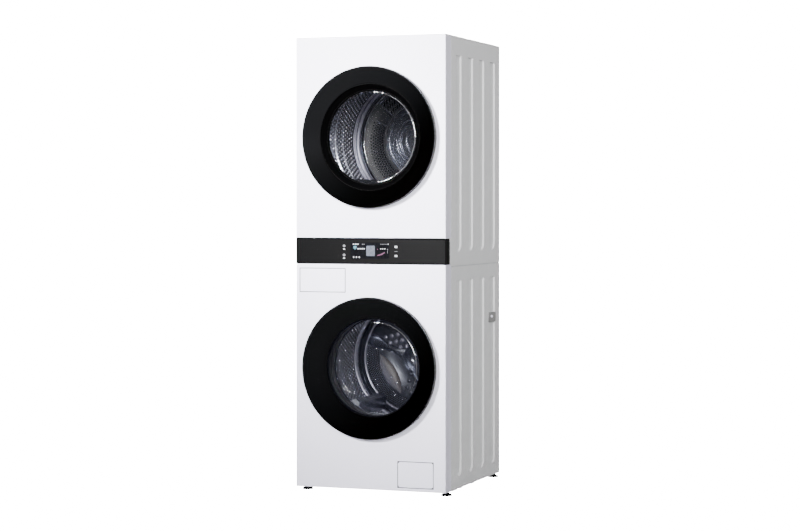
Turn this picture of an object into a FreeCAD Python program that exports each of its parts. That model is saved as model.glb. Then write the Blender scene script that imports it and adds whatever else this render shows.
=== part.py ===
import FreeCAD, Part
import Sketcher
import math
import os
import re

V = FreeCAD.Vector

# Driving dimensions in millimetres. Depths are counted from the front face of
# the cabinet, heights from the floor, widths from the middle of the cabinet.
DIMS = {
    "cab_width": 658,
    "cab_height": 1889,
    "front_y": -358,
    "cab_depth": 730,
    "foot_height": 20,
    "sheet": 1.5,
    "skin_return": 68,
    "unit_seam": 939,
    "bar_low": 949,
    "bar_high": 1052,
    "cover_rise": 4,
    "washer_axis": 519.8,
    "dryer_axis": 1469.6,
    "door_radius": 291,
    "door_proud": 28,
    "door_gap": 4,
    "washer_mouth": 270,
    "dryer_mouth": 258,
    "hinge_x": -285,
    "hinge_ahead": 13,
    "hinge_pin": 2.5,
    "hook_x": 279,
    "fit_gap": 0.08,
    "tub_radius": 293,
    "wash_drum_radius": 265,
    "dry_drum_radius": 280,
    "damper_x": 150,
    "damper_y": 160,
    "spring_x": 240,
    "spring_y": 40,
    "motor_x": 150,
    "motor_z": 1045,
    "pulley_radius": 20,
    "roller_radius": 28,
    "roller_angle": 35,
    "duct_radius": 51,
    "duct_z": 1045,
    "rear_proud": 14,
    "drawer_left": -310,
    "drawer_right": -111,
    "drawer_low": 832,
    "drawer_high": 927,
    "flap_left": 123,
    "flap_right": 274,
    "flap_low": 36.5,
    "flap_high": 140,
    "pump_x": 198,
    "pump_z": 90,
    "foot_x": 307,
    "foot_front": 75,
    "foot_rear": 706,
    "flute_first": 132,
    "flute_pitch": 153.5,
    "flute_width": 70,
    "flute_depth": 6,
    "inlet_x": 250,
    "inlet_z": 880,
    "drain_x": -250,
    "drain_z": 860,
}

doc = FreeCAD.newDocument("washer_dryer_stack")
sheet = doc.addObject("Spreadsheet::Sheet", "dims")
for row, (word, value) in enumerate(DIMS.items(), start=1):
    sheet.set("A%d" % row, word)
    sheet.set("B%d" % row, str(value))
    sheet.setAlias("B%d" % row, word)
doc.recompute()

NODES = []


def ex(text):
    """Write the sheet's name before each dimension used in an expression."""
    def named(word):
        return "dims." + word.group() if word.group() in DIMS else word.group()
    return re.sub(r"[a-z][a-z_]*", named, str(text))


def num(text):
    """Present value of an expression."""
    return float(sheet.evalExpression(ex(text)))


def bind(thing, **settings):
    """Drive properties of an object from the sheet (x__y stands for x.y)."""
    for name, text in settings.items():
        thing.setExpression(name.replace("__", "."), ex(text))


def place(thing, x="0", y="0", z="0"):
    bind(thing, Placement__Base__x=x, Placement__Base__y=y, Placement__Base__z=z)


def turn(thing, axis, degrees):
    """Turn an object about its own origin."""
    base = thing.Placement.Base
    thing.Placement = FreeCAD.Placement(base, FreeCAD.Rotation(axis, degrees))


def node(label, thing):
    """Name a finished piece."""
    thing.Label = label
    NODES.append(thing)
    return thing


# ---------------------------------------------------------------- sketching
def new_body(name):
    return doc.addObject("PartDesign::Body", name + "_body")


def plane_of(body, role):
    return [p for p in body.Origin.OriginFeatures if p.Role == role][0]


def new_sketch(body, role):
    made = body.newObject("Sketcher::SketchObject", body.Name + "_outline")
    made.AttachmentSupport = [(plane_of(body, role), "")]
    made.MapMode = "FlatFace"
    return made


def outline(sketch, points):
    """Closed outline of straight lines whose corners follow the sheet."""
    corners = [(num(a), num(b)) for a, b in points]
    first = sketch.GeometryCount
    count = len(corners)
    for i in range(count):
        start = V(corners[i][0], corners[i][1], 0)
        end = V(corners[(i + 1) % count][0], corners[(i + 1) % count][1], 0)
        sketch.addGeometry(Part.LineSegment(start, end), False)
    for i in range(count):
        after = first + (i + 1) % count
        sketch.addConstraint(Sketcher.Constraint("Coincident", first + i, 2, after, 1))
    for i, (a, b) in enumerate(points):
        for kind, text in (("DistanceX", a), ("DistanceY", b)):
            limit = Sketcher.Constraint(kind, -1, 1, first + i, 1, num(text))
            index = sketch.addConstraint(limit)
            sketch.setExpression("Constraints[%d]" % index, ex(text))


def circle(sketch, across, up, radius):
    """Circle in a sketch whose centre and radius follow the sheet."""
    shape = Part.Circle(V(num(across), num(up), 0), V(0, 0, 1), num(radius))
    index = sketch.addGeometry(shape, False)
    for kind, text in (("DistanceX", across), ("DistanceY", up)):
        limit = Sketcher.Constraint(kind, -1, 1, index, 3, num(text))
        sketch.setExpression("Constraints[%d]" % sketch.addConstraint(limit), ex(text))
    limit = sketch.addConstraint(Sketcher.Constraint("Radius", index, num(radius)))
    sketch.setExpression("Constraints[%d]" % limit, ex(radius))


def rectangle(left, right, low, high):
    return [(left, low), (right, low), (right, high), (left, high)]


def ring(name, axis_z, points, x="0", y="front_y"):
    """Body turned about a level front-to-back axis; points are depth, radius."""
    body = new_body(name)
    profile = new_sketch(body, "YZ_Plane")
    outline(profile, points)
    turned = body.newObject("PartDesign::Revolution", name + "_turned")
    turned.Profile = profile
    turned.ReferenceAxis = (profile, ["H_Axis"])
    turned.Angle = 360
    place(body, x, y, axis_z)
    return body


def spindle(name, x, y, points):
    """Body turned about an upright axis; points are radius, height."""
    body = new_body(name)
    profile = new_sketch(body, "XZ_Plane")
    outline(profile, points)
    turned = body.newObject("PartDesign::Revolution", name + "_turned")
    turned.Profile = profile
    turned.ReferenceAxis = (profile, ["V_Axis"])
    turned.Angle = 360
    place(body, x, y)
    return body


def pad(body, sketch, length, backwards=True):
    """Pad a sketch; one on the upright plane grows away from the front."""
    made = body.newObject("PartDesign::Pad", body.Name + "_pad")
    made.Profile = sketch
    bind(made, Length=length)
    made.Reversed = backwards
    return made


def pocket(body, sketch, length, name):
    made = body.newObject("PartDesign::Pocket", body.Name + name)
    made.Profile = sketch
    bind(made, Length=length)
    made.Reversed = False
    doc.recompute()
    return made


# --------------------------------------------------- primitives and booleans
def box(x0, x1, y0, y1, z0, z1):
    made = doc.addObject("Part::Box", "block")
    bind(made, Length="(%s) - (%s)" % (x1, x0))
    bind(made, Width="(%s) - (%s)" % (y1, y0))
    bind(made, Height="(%s) - (%s)" % (z1, z0))
    place(made, x0, y0, z0)
    return made


def rod_y(x, y0, y1, z, radius):
    """Cylinder lying front to back."""
    made = doc.addObject("Part::Cylinder", "rod")
    bind(made, Radius=radius, Height="(%s) - (%s)" % (y1, y0))
    turn(made, V(1, 0, 0), -90)
    place(made, x, y0, z)
    return made


def rod_z(x, y, z0, z1, radius):
    """Upright cylinder."""
    made = doc.addObject("Part::Cylinder", "post")
    bind(made, Radius=radius, Height="(%s) - (%s)" % (z1, z0))
    place(made, x, y, z0)
    return made


def joined(*things):
    made = doc.addObject("Part::MultiFuse", "joined")
    made.Shapes = list(things)
    return made


def group(*things):
    """Separate solids kept together as one node."""
    made = doc.addObject("Part::Compound", "group")
    made.Links = list(things)
    return made


def less(base, *tools):
    """Cut tools out of a base."""
    made = doc.addObject("Part::Cut", "less")
    made.Base = base
    made.Tool = tools[0] if len(tools) == 1 else joined(*tools)
    return made


def mirrored(thing):
    """The same piece on the other side of the cabinet."""
    made = doc.addObject("Part::Mirroring", "mirrored")
    made.Source = thing
    made.Normal = V(1, 0, 0)
    return made


def rounded(thing, radius, chosen):
    """Round the edges that the given test picks."""
    doc.recompute()
    made = doc.addObject("Part::Fillet", "rounded")
    made.Base = thing
    picked = [i for i, e in enumerate(thing.Shape.Edges, start=1) if chosen(e)]
    made.Edges = [(i, num(radius), num(radius)) for i in picked]
    return made


def along(edge, axis):
    """True for a straight edge that runs along the axis."""
    if edge.Curve.TypeId != "Part::GeomLine":
        return False
    return abs(abs(edge.Curve.Direction.dot(axis)) - 1) < 1e-6


def soft_block(x0, x1, y0, y1, z0, z1, radius, axis):
    """Block with the four edges along one axis rounded."""
    return rounded(box(x0, x1, y0, y1, z0, z1), radius, lambda e: along(e, axis))


X, Y, Z = V(1, 0, 0), V(0, 1, 0), V(0, 0, 1)
BACK = "(front_y + cab_depth)"
HALF = "(cab_width / 2)"


# ------------------------------------------------------------ sheet panels
def front_pan(name, low, high):
    """Pressed front: a shallow pan, open to the back, with rounded front edges."""
    body = new_body(name)
    face = new_sketch(body, "XZ_Plane")
    outline(face, rectangle("-cab_width / 2", "cab_width / 2", low, high))
    block = pad(body, face, "skin_return")
    doc.recompute()
    edges = block.Shape.Edges
    picked = ["Edge%d" % i for i, e in enumerate(edges, 1) if abs(e.CenterOfMass.y) < 0.01]
    soft = body.newObject("PartDesign::Fillet", name + "_rim")
    soft.Base = (block, picked)
    soft.Radius = 4
    doc.recompute()
    faces = soft.Shape.Faces
    depth = num("skin_return")
    opened = [
        "Face%d" % i for i, f in enumerate(faces, 1)
        if abs(f.CenterOfMass.y - depth) < 0.01
    ]
    pan = body.newObject("PartDesign::Thickness", name + "_pan")
    pan.Base = (soft, opened)
    bind(pan, Value="sheet")
    pan.Reversed = True
    place(body, "0", "front_y", "0")
    doc.recompute()
    return body


def open_front(body, sketch, name):
    """Cut an opening through the front skin only."""
    before = body.Shape.Volume
    pocket(body, sketch, "sheet * 4", name)
    if body.Shape.Volume > before - 1000:
        raise RuntimeError("the opening cut nothing: " + name)


def collar(axis_z, radius, depth):
    """Turned-in lip round a door opening."""
    inner = rod_y("0", "front_y + sheet - 0.2", "front_y + " + depth, axis_z, radius)
    outer = rod_y("0", "front_y + sheet - 0.2", "front_y + " + depth, axis_z,
                  radius + " + sheet")
    return less(outer, inner)


def latch_slot(axis_z):
    """Slot in the front skin that the door hook passes through."""
    return box("hook_x - 5", "hook_x + 9", "front_y - 1", "front_y + 6",
               axis_z + " - 11", axis_z + " + 11")


def washer_front_panel():
    body = front_pan("washer_front", "foot_height", "bar_low - 2")
    cut = new_sketch(body, "XZ_Plane")
    circle(cut, "0", "washer_axis", "washer_mouth")
    outline(cut, rectangle("drawer_left - 1.2", "drawer_right + 1.2",
                           "drawer_low - 1.2", "drawer_high + 1.2"))
    outline(cut, rectangle("flap_left - 1.2", "flap_right + 1.2",
                           "flap_low - 1.2", "flap_high + 1.2"))
    open_front(body, cut, "_openings")
    skin = joined(body, collar("washer_axis", "washer_mouth", "43"))
    return node("washer_front_panel", less(skin, latch_slot("washer_axis")))


def dryer_front_panel():
    body = front_pan("dryer_front", "bar_high + 2", "cab_height - cover_rise + 1")
    cut = new_sketch(body, "XZ_Plane")
    circle(cut, "0", "dryer_axis", "dryer_mouth")
    open_front(body, cut, "_opening")
    skin = joined(body, collar("dryer_axis", "dryer_mouth", "16"))
    return node("dryer_front_panel", less(skin, latch_slot("dryer_axis")))


def flute(index, low, high, grow):
    """Pressed flute, round at the foot; grow makes the outside of the pressing."""
    wide = "(flute_width / 2 + %s)" % grow
    deep = "(flute_depth + %s)" % grow
    middle = "(front_y + flute_first + flute_width / 2 + flute_pitch * %d)" % index
    foot = "(%s + flute_width / 2)" % low
    start = "(cab_width / 2 - sheet / 2)" if grow != "0" else "(cab_width / 2 + 0.5)"
    trough = doc.addObject("Part::Wedge", "trough")
    reach = "(%s - cab_width / 2 + %s)" % (start, deep)
    bind(trough, Xmin="-" + wide, Xmax=wide, Ymin="0", Ymax=reach)
    bind(trough, Zmin="0", Zmax="%s - %s + %s" % (high, foot, grow))
    bind(trough, X2min="%s - %s" % (deep, wide), X2max="%s - %s" % (wide, deep))
    bind(trough, Z2min="0", Z2max="%s - %s + %s - 1" % (high, foot, grow))
    turn(trough, Z, 90)
    place(trough, start, middle, foot)
    end = doc.addObject("Part::Cone", "foot_end")
    bind(end, Radius1=wide, Radius2="%s - %s" % (wide, deep), Height=reach)
    turn(end, Y, -90)
    place(end, start, middle, foot)
    return joined(trough, end)


def side_panel(low, high, flute_low, flute_high):
    """Side skin with four pressed flutes."""
    y0 = "front_y + skin_return + 1"
    skin = box("cab_width / 2 - sheet", "cab_width / 2", y0, BACK, low, high)
    flange = box("cab_width / 2 - 24", "cab_width / 2 - sheet / 2", BACK + " - 3.2",
                 BACK + " - 1.7", low + " + 3", high + " - 3")
    outside = [flute(i, flute_low, flute_high, "sheet") for i in range(4)]
    inside = [flute(i, flute_low, flute_high, "0") for i in range(4)]
    drilled = [
        rod_y(x, BACK + " - 5", BACK, z, "2.3")
        for x, z in screw_sites() if num(x) > 0 and num(low) < num(z) < num(high)
    ]
    return less(joined(skin, flange, *outside), *(inside + drilled))


def side_panels():
    lower = side_panel("foot_height", "unit_seam - 1", "69", "880")
    upper = side_panel("unit_seam + 1", "cab_height - cover_rise - 8", "998", "1808")
    lower = less(lower, rod_x("cab_width / 2 - 10", "cab_width / 2 + 4", "248", "707", "2.3"))
    tongue = box("cab_width / 2 - sheet", "cab_width / 2", "front_y + 52",
                 "front_y + skin_return + 2", "bar_low - 1", "bar_high + 1")
    upper = joined(upper, tongue)
    node("washer_right_side", lower)
    node("washer_left_side", mirrored(lower))
    node("dryer_right_side", upper)
    node("dryer_left_side", mirrored(upper))


def rod_x(x0, x1, y, z, radius):
    """Cylinder lying from side to side."""
    made = doc.addObject("Part::Cylinder", "bar")
    bind(made, Radius=radius, Height="(%s) - (%s)" % (x1, x0))
    turn(made, V(0, 1, 0), 90)
    place(made, x0, y, z)
    return made


def side_plates():
    """Small hose plate screwed on each side of the lower unit."""
    plate = soft_block("cab_width / 2", "cab_width / 2 + 2", "209", "310",
                       "684", "727", "8", X)
    plate = less(plate, rod_x("cab_width / 2 - 1", "cab_width / 2 + 3", "248", "707", "2.3"))
    node("side_plates", group(plate, mirrored(plate)))


def screw_sites():
    """Places of the rear panel screws: across, height."""
    across = ["-cab_width / 2 + 14", "cab_width / 2 - 14"]
    heights = ["76", "330", "600", "905", "970", "1250", "1550", "1850"]
    return [(x, z) for x in across for z in heights]


def rear_panel(label, low, high, holes):
    """Rear skin with a raised round pressing, screw holes and service holes."""
    y0 = BACK + " - sheet"
    skin = box("-cab_width / 2 + sheet + 0.3", "cab_width / 2 - sheet - 0.3",
               y0, BACK, low, high)
    drilled = [
        rod_y(x, y0 + " - 1", BACK + " + 1", z, "2.3")
        for x, z in screw_sites() if num(low) < num(z) < num(high)
    ]
    return node(label, less(skin, *(drilled + holes)))


def rear_panels():
    y0 = BACK + " - 4"
    y1 = BACK + " + 3"
    taps = [rod_y("inlet_x - %s" % gap, y0, y1, "inlet_z", "16") for gap in ("0", "60")]
    drain = rod_y("drain_x", y0, y1, "drain_z", "17")
    rear_panel("washer_rear_panel", "foot_height + 2", "unit_seam - 1.5", taps + [drain])
    vent = rod_y("0", y0, y1, "duct_z", "duct_radius + 3")
    louvres = [
        box("-230", "-90", y0, y1, "%d" % z, "%d" % (z + 6)) for z in range(1640, 1760, 16)
    ]
    rear_panel("dryer_rear_panel", "unit_seam + 1.5", "cab_height - cover_rise - 9",
               [vent] + louvres)


def cabinet_screws():
    """Screws of the rear panels and of the two side plates."""
    made = []
    for x, z in screw_sites():
        head = rod_y(x, BACK, BACK + " + 2.6", z, "4.6")
        shank = rod_y(x, BACK + " - 9", BACK + " + 1", z, "2")
        made.append(joined(head, shank))
    head = rod_x("cab_width / 2 + 2", "cab_width / 2 + 4", "248", "707", "5")
    shank = rod_x("cab_width / 2 - 12", "cab_width / 2 + 3", "248", "707", "2")
    side = joined(head, shank)
    node("cabinet_screws", group(*(made + [side, mirrored(side)])))


def top_cover():
    """Top skin with raised pressings and a folded rim."""
    y0 = "front_y + skin_return + 1"
    top = "cab_height - cover_rise"
    shell = box("-cab_width / 2", "cab_width / 2", y0, BACK, top + " - 7.7", top)
    hollow = box("-cab_width / 2 + sheet", "cab_width / 2 - sheet", y0 + " + sheet",
                 BACK + " - sheet", top + " - 9", top + " - sheet")
    ribs = []
    for start, end in ((72, 128), (136, 202), (210, 292), (342, 494), (520, 700)):
        rib = soft_block("-cab_width / 2 + 12", "cab_width / 2 - 12",
                         "front_y + %d" % start, "front_y + %d" % end,
                         top + " - sheet", "cab_height", "10", Z)
        ribs.append(rib)
    node("top_cover", joined(less(shell, hollow), *ribs))


def base_pan():
    """Moulded base with foot bosses, damper sockets and grip tabs below."""
    shell = box("-cab_width / 2 + 3", "cab_width / 2 - 3", "front_y + 70", BACK + " - 4",
                "foot_height + 2", "66")
    hollow = box("-cab_width / 2 + 6", "cab_width / 2 - 6", "front_y + 73", BACK + " - 7",
                 "foot_height + 5", "70")
    notch = box("pump_x - 41", "pump_x + 41", "front_y + 60", "front_y + 80", "48", "70")
    parts = [less(shell, hollow, notch)]
    bores = []
    for side in ("-foot_x", "foot_x"):
        for depth in ("foot_front", "foot_rear"):
            y = "front_y + " + depth
            parts.append(rod_z(side, y, "foot_height + 2", "56", "12"))
            bores.append(rod_z(side, y, "foot_height", "60", "6 + fit_gap"))
    for x0, x1 in (("cab_width / 2 - 8", "cab_width / 2 - 4"),
                   ("-cab_width / 2 + 4", "-cab_width / 2 + 8")):
        for start, end in ((96, 112), (117, 160), (195, 228), (350, 385)):
            parts.append(box(x0, x1, "front_y + %d" % start, "front_y + %d" % end,
                             "foot_height - 4", "foot_height + 3"))
    node("base_pan", less(joined(*parts), *bores))


def mid_deck():
    """Steel deck between the units; it carries the dryer."""
    y0 = "front_y + 72"
    shell = box("-cab_width / 2 + 3", "cab_width / 2 - 3", y0, BACK + " - 4",
                "unit_seam - 2", "unit_seam + 22")
    hollow = box("-cab_width / 2 + 5", "cab_width / 2 - 5", y0 + " + 2", BACK + " - 6",
                 "unit_seam", "unit_seam + 30")
    clear = box("-cab_width / 2 + 1", "cab_width / 2 - 1", BACK + " - 6", BACK + " + 2",
                "unit_seam + 8", "unit_seam + 30")
    node("mid_deck", less(shell, hollow, clear))


# --------------------------------------------------------------- control bar
def control_bar():
    """Control bar: moulded case with end caps, glass front and display."""
    shell = soft_block("-cab_width / 2", "cab_width / 2", "front_y", "front_y + 51",
                       "bar_low", "bar_high", "3", Y)
    hollow = box("-cab_width / 2 + 3", "cab_width / 2 - 3", "front_y + 7",
                 "front_y + 60", "bar_low + 3", "bar_high - 3")
    recess = box("-cab_width / 2 + 3", "cab_width / 2 - 3", "front_y - 1",
                 "front_y + 4", "bar_low + 3", "bar_high - 3")
    window = box("-87", "86", "front_y", "front_y + 9", "967", "1037")
    node("control_case", less(shell, hollow, recess, window))
    glass = soft_block("-cab_width / 2 + 3.3", "cab_width / 2 - 3.3", "front_y + 0.5",
                       "front_y + 3.8", "bar_low + 3.3", "bar_high - 3.3", "2", Y)
    node("control_glass", glass)
    panel = soft_block("-85", "84", "front_y + 4", "front_y + 12", "969", "1035", "2", Y)
    board = box("-120", "120", "front_y + 14", "front_y + 16", "960", "1044")
    post = box("-60", "60", "front_y + 11", "front_y + 15", "985", "1019")
    node("display_module", joined(panel, board, post))


# --------------------------------------------------------------------- doors
def hinge_pocket(axis_z):
    """Room in the door rim for the fixed hinge knuckles."""
    return box("-door_radius - 1", "hinge_x + 8", "front_y - 20", "front_y - 3",
               axis_z + " - 46", axis_z + " + 46")


def hook_pocket(axis_z):
    return box("hook_x - 6", "hook_x + 6", "front_y - 13", "front_y - 3",
               axis_z + " - 9", axis_z + " + 9")


def grip(axis_z):
    """Finger grip: a curved groove in the right-hand edge of the rim."""
    outer = doc.addObject("Part::Cylinder", "grip_outer")
    bind(outer, Radius="door_radius + 2", Height="15")
    outer.Angle = 76
    outer.Placement.Rotation = FreeCAD.Rotation(X, -90) * FreeCAD.Rotation(Z, -38)
    place(outer, "0", "front_y - 18", axis_z)
    return less(outer, rod_y("0", "front_y - 19", "front_y", axis_z, "door_radius - 6"))


def door_frame(label, axis_z, points):
    """Door frame: turned ring with hinge room, hinge pin, hook room and grip."""
    frame = ring(label, axis_z, points)
    tools = [hinge_pocket(axis_z), grip(axis_z)]
    if label.startswith("washer"):
        tools.append(hook_pocket(axis_z))
    pin_y = "front_y - hinge_ahead"
    pin = rod_z("hinge_x", pin_y, axis_z + " - 48", axis_z + " + 48", "hinge_pin")
    parts = [less(frame, *tools), pin]
    if label.startswith("washer"):
        parts.append(rod_z("hook_x", "front_y - 8", axis_z + " - 10",
                           axis_z + " + 10", "1.5"))
    else:
        parts.append(box("hook_x - 3", "hook_x + 3", "front_y - 6", "front_y + 20",
                         axis_z + " - 6", axis_z + " + 6"))
    return node(label, joined(*parts))


def washer_door():
    """Deep funnel door: dark ring, frame, glass bowl and sprung hook."""
    rim = "door_radius - 3"
    proud = "-door_proud"
    node("washer_door_ring", ring("washer_ring", "washer_axis", [
        (proud, rim), (proud, "door_radius - 7"), ("33", "206"), ("37", "206"),
        (proud + " + 4", rim)]))
    door_frame("washer_door_frame", "washer_axis", [
        (proud + " + 2", "door_radius - 2.8"), (proud + " + 2", "door_radius"),
        ("-door_gap", "door_radius"), ("-door_gap", "264"), ("6", "262"), ("44", "216"),
        ("44", "200"), ("40", "200"), ("40", "206.2"), ("37.2", "206.2"),
        (proud + " + 4.3", "door_radius - 2.8")])
    node("washer_door_bowl", ring("washer_bowl", "washer_axis", [
        ("34", "204.5"), ("39.8", "204.5"), ("39.8", "198"), ("46", "190.5"),
        ("58", "183.5"), ("96", "165"), ("116", "140"), ("122", "0"), ("117", "0"), ("111", "138"),
        ("92", "160"), ("54", "179"), ("34", "198")]))
    eye = rod_z("hook_x", "front_y - 8", "washer_axis - 8", "washer_axis + 8", "3.6")
    shank = box("hook_x - 3", "hook_x + 3", "front_y - 7", "front_y + 20",
                "washer_axis - 6", "washer_axis + 6")
    claw = box("hook_x - 3", "hook_x + 7", "front_y + 16", "front_y + 20",
               "washer_axis - 6", "washer_axis + 6")
    bore = rod_z("hook_x", "front_y - 8", "washer_axis - 9", "washer_axis + 9",
                 "1.5 + fit_gap")
    node("washer_latch_hook", less(joined(eye, shank, claw), bore))


def dryer_door():
    """Shallow funnel door: dark ring, frame with a fixed strike, window."""
    rim = "door_radius - 3"
    proud = "-door_proud"
    node("dryer_door_ring", ring("dryer_ring", "dryer_axis", [
        (proud, rim), (proud, "door_radius - 7"), ("-1.5", "220"), ("2.5", "220"),
        (proud + " + 4", rim)]))
    door_frame("dryer_door_frame", "dryer_axis", [
        (proud + " + 2", "door_radius - 2.8"), (proud + " + 2", "door_radius"),
        ("-door_gap", "door_radius"), ("-door_gap", "250"), ("28", "250"), ("32", "244"),
        ("32", "192"), ("27.2", "192"), ("27.2", "203.3"), ("21.8", "203.3"),
        ("21.8", "196"), ("2.8", "218"), ("2.8", "220.3"),
        (proud + " + 4.3", "door_radius - 2.8")])
    node("dryer_door_window", ring("dryer_window", "dryer_axis", [
        ("18", "0"), ("22", "190"), ("22", "203"), ("27", "203"), ("27", "190"), ("23", "0")]))


def hinge_bracket(axis_z):
    """Fixed half of a door hinge: plate, two arms and two knuckles."""
    plate = box("hinge_x - 1", "hinge_x + 12", "front_y - 3", "front_y",
                axis_z + " - 44", axis_z + " + 44")
    pin_y = "front_y - hinge_ahead"
    parts = [plate]
    bores = []
    for low, high in ((-42, -22), (22, 42)):
        z0 = axis_z + " + (%d)" % low
        z1 = axis_z + " + (%d)" % high
        parts.append(rod_z("hinge_x", pin_y, z0, z1, "5"))
        parts.append(box("hinge_x - 2", "hinge_x + 3", pin_y, "front_y - 1", z0, z1))
        bores.append(rod_z("hinge_x", pin_y, z0 + " - 1", z1 + " + 1",
                           "hinge_pin + fit_gap"))
    return less(joined(*parts), *bores)


def door_catch(axis_z):
    """Lock box behind the front skin, open to the front."""
    case = box("hook_x - 6", "hook_x + 20", "front_y + 1.6", "front_y + 30",
               axis_z + " - 24", axis_z + " + 24")
    room = box("hook_x - 4.4", "hook_x + 12", "front_y + 1", "front_y + 27",
               axis_z + " - 12", axis_z + " + 12")
    return less(case, room)


# ------------------------------------------------------------- washer inside
def tub():
    """Outer tub in two halves, its counterweight and its seal."""
    r = "tub_radius"
    node("tub_front", ring("tub_front", "washer_axis", [
        ("73", "205"), ("73", "211"), ("106.2", "211"), ("106.2", r), ("346", r),
        ("346", r + " + 10"), ("357.9", r + " + 10"), ("357.9", r + " - 6"),
        ("112", r + " - 6"), ("112", "205")]))
    shell = ring("tub_rear", "washer_axis", [
        ("358.1", r + " - 6"), ("358.1", r + " + 10"), ("370", r + " + 10"), ("370", r),
        ("608", r), ("608", "52"), ("632", "52"), ("632", "22"), ("590", "22"),
        ("590", "60"), ("600", "60"), ("600", r + " - 6")])
    ribs = []
    for i in range(12):
        rib = box("-3", "3", "front_y + 607", "front_y + 622", "48", r + " - 6")
        rib.Placement.Rotation = FreeCAD.Rotation(Y, 30 * i)
        rib.setExpression("Placement.Base.x", ex("48 * sin(%d) - 3 * cos(%d)" % (30 * i, 30 * i)))
        rib.setExpression("Placement.Base.z",
                          ex("washer_axis + 48 * cos(%d) + 3 * sin(%d)" % (30 * i, 30 * i)))
        bind(rib, Height=r + " - 54")
        ribs.append(rib)
    for x0, x1 in (("spring_x - 12", "spring_x + 12"), ("-spring_x - 12", "-spring_x + 12")):
        ear = box(x0, x1, "spring_y - 8", "spring_y + 8", "640", "715.8")
        ribs.append(less(ear, rod_y("0", "spring_y - 10", "spring_y + 10", "washer_axis",
                                    r + " - 3")))
    node("tub_rear", joined(shell, *ribs))
    node("front_counterweight", ring("counterweight", "washer_axis", [
        ("70", "222"), ("70", "282"), ("76", "288"), ("106", "288"), ("106", "222")]))
    node("door_gasket", ring("gasket", "washer_axis", [
        ("49", "200"), ("72", "200"), ("72", "211.4"), ("100", "211.4"), ("100", "216"),
        ("68", "216"), ("68", "204"), ("53", "204"), ("53", "284"), ("49", "284")]))


def wedge(base, top, reach, length, slope):
    """Block that narrows away from its base, with sloped ends."""
    made = doc.addObject("Part::Wedge", "wedge")
    bind(made, Xmin="-(%s) / 2" % base, Xmax="(%s) / 2" % base)
    bind(made, X2min="-(%s) / 2" % top, X2max="(%s) / 2" % top)
    bind(made, Ymin="0", Ymax=reach, Zmin="0", Zmax=length)
    bind(made, Z2min=slope, Z2max="(%s) - (%s)" % (length, slope))
    return made


def fins(count, radius, reach, base, top, y0, y1, axis_z):
    """Tapered hollow lifters standing on the inside of a drum, evenly spaced."""
    made = []
    length = "(%s) - (%s)" % (y1, y0)
    seat = "sqrt((%s) ^ 2 - (%s) ^ 2 / 4)" % (radius, base)
    for i in range(count):
        angle = 360 * i / count - 20
        lie = FreeCAD.Rotation(Y, angle) * FreeCAD.Rotation(X, -90)
        skin = wedge(base, top, reach, length, "24")
        room = wedge("%s - 8" % base, "%s - 6" % top, "%s - 3" % reach,
                     "%s - 8" % length, "23")
        for block, start in ((skin, y0), (room, "%s + 4" % y0)):
            block.Placement.Rotation = lie
            place(block, "%s * sin(%s)" % (seat, angle), start,
                  "%s + %s * cos(%s)" % (axis_z, seat, angle))
        made.append(less(skin, room))
    return made


def washer_drum():
    """Drum with its lifters, spider and shaft, and the direct-drive motor."""
    r = "wash_drum_radius"
    node("washer_drum", ring("wash_drum", "washer_axis", [
        ("118", "198"), ("118", r), ("576", r), ("576", "30"), ("574", "30"),
        ("574", r + " - 2"), ("120", r + " - 2"), ("120", "198")]))
    node("washer_lifters", group(*fins(3, r + " - 2.2", "58", "80", "26", "front_y + 170",
                                       "front_y + 540", "washer_axis")))
    arms = []
    for i in range(3):
        arm = box("-14", "14", "front_y + 576.2", "front_y + 588", "0", "250")
        angle = 120 * i
        arm.Placement.Rotation = FreeCAD.Rotation(Y, angle)
        arm.setExpression("Placement.Base.x", ex("-14 * cos(%d)" % angle))
        arm.setExpression("Placement.Base.z", ex("washer_axis + 14 * sin(%d)" % angle))
        arms.append(arm)
    hub = rod_y("0", "front_y + 576.2", "front_y + 588", "washer_axis", "44")
    shaft = rod_y("0", "front_y + 576.2", "front_y + 678", "washer_axis", "21.6")
    node("drum_spider", joined(hub, shaft, *arms))
    node("motor_stator", ring("stator", "washer_axis", [
        ("632.2", "30"), ("632.2", "110"), ("658", "110"), ("658", "78"), ("638", "78"),
        ("638", "30")]))
    node("motor_rotor", ring("rotor", "washer_axis", [
        ("636", "114"), ("636", "120"), ("671", "120"), ("671", "21.7"), ("666", "21.7"),
        ("666", "114")]))


def suspension():
    """Four dampers under the tub and two springs above it."""
    sleeves = []
    rods = []
    for x in ("-damper_x", "damper_x"):
        for y in ("-damper_y", "damper_y"):
            sleeve = rod_z(x, y, "foot_height + 5", "170", "16")
            sleeves.append(less(sleeve, rod_z(x, y, "60", "171", "12.5")))
            stem = rod_z(x, y, "100", "240", "12")
            saddle = box(x + " - 16", x + " + 16", y + " - 20", y + " + 20", "232", "290")
            curve = rod_y("0", "front_y", BACK, "washer_axis", "tub_radius + 0.1")
            rods.append(less(joined(stem, saddle), curve))
    node("damper_cylinders", group(*sleeves))
    node("damper_rods", group(*rods))
    node("tub_springs", group(tub_spring(), mirrored(tub_spring())))


def tub_spring():
    """Coil spring with a straight hook at each end."""
    body = new_body("spring")
    coil = new_sketch(body, "XZ_Plane")
    circle(coil, "15", "0", "2")
    wound = body.newObject("PartDesign::AdditiveHelix", "wound")
    wound.Profile = coil
    wound.ReferenceAxis = (coil, ["V_Axis"])
    wound.Mode = 0
    wound.Pitch = 8
    wound.Height = 140
    place(body, "spring_x", "spring_y", "745")
    parts = [body]
    for low, high, bar in (("716", "747", "744"), ("883", "unit_seam - 2.2", "882")):
        parts.append(rod_z("spring_x", "spring_y", low, high, "2"))
        parts.append(box("spring_x - 15", "spring_x + 15", "spring_y - 2",
                         "spring_y + 2", bar, bar + " + 4"))
    return joined(*parts)


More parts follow.
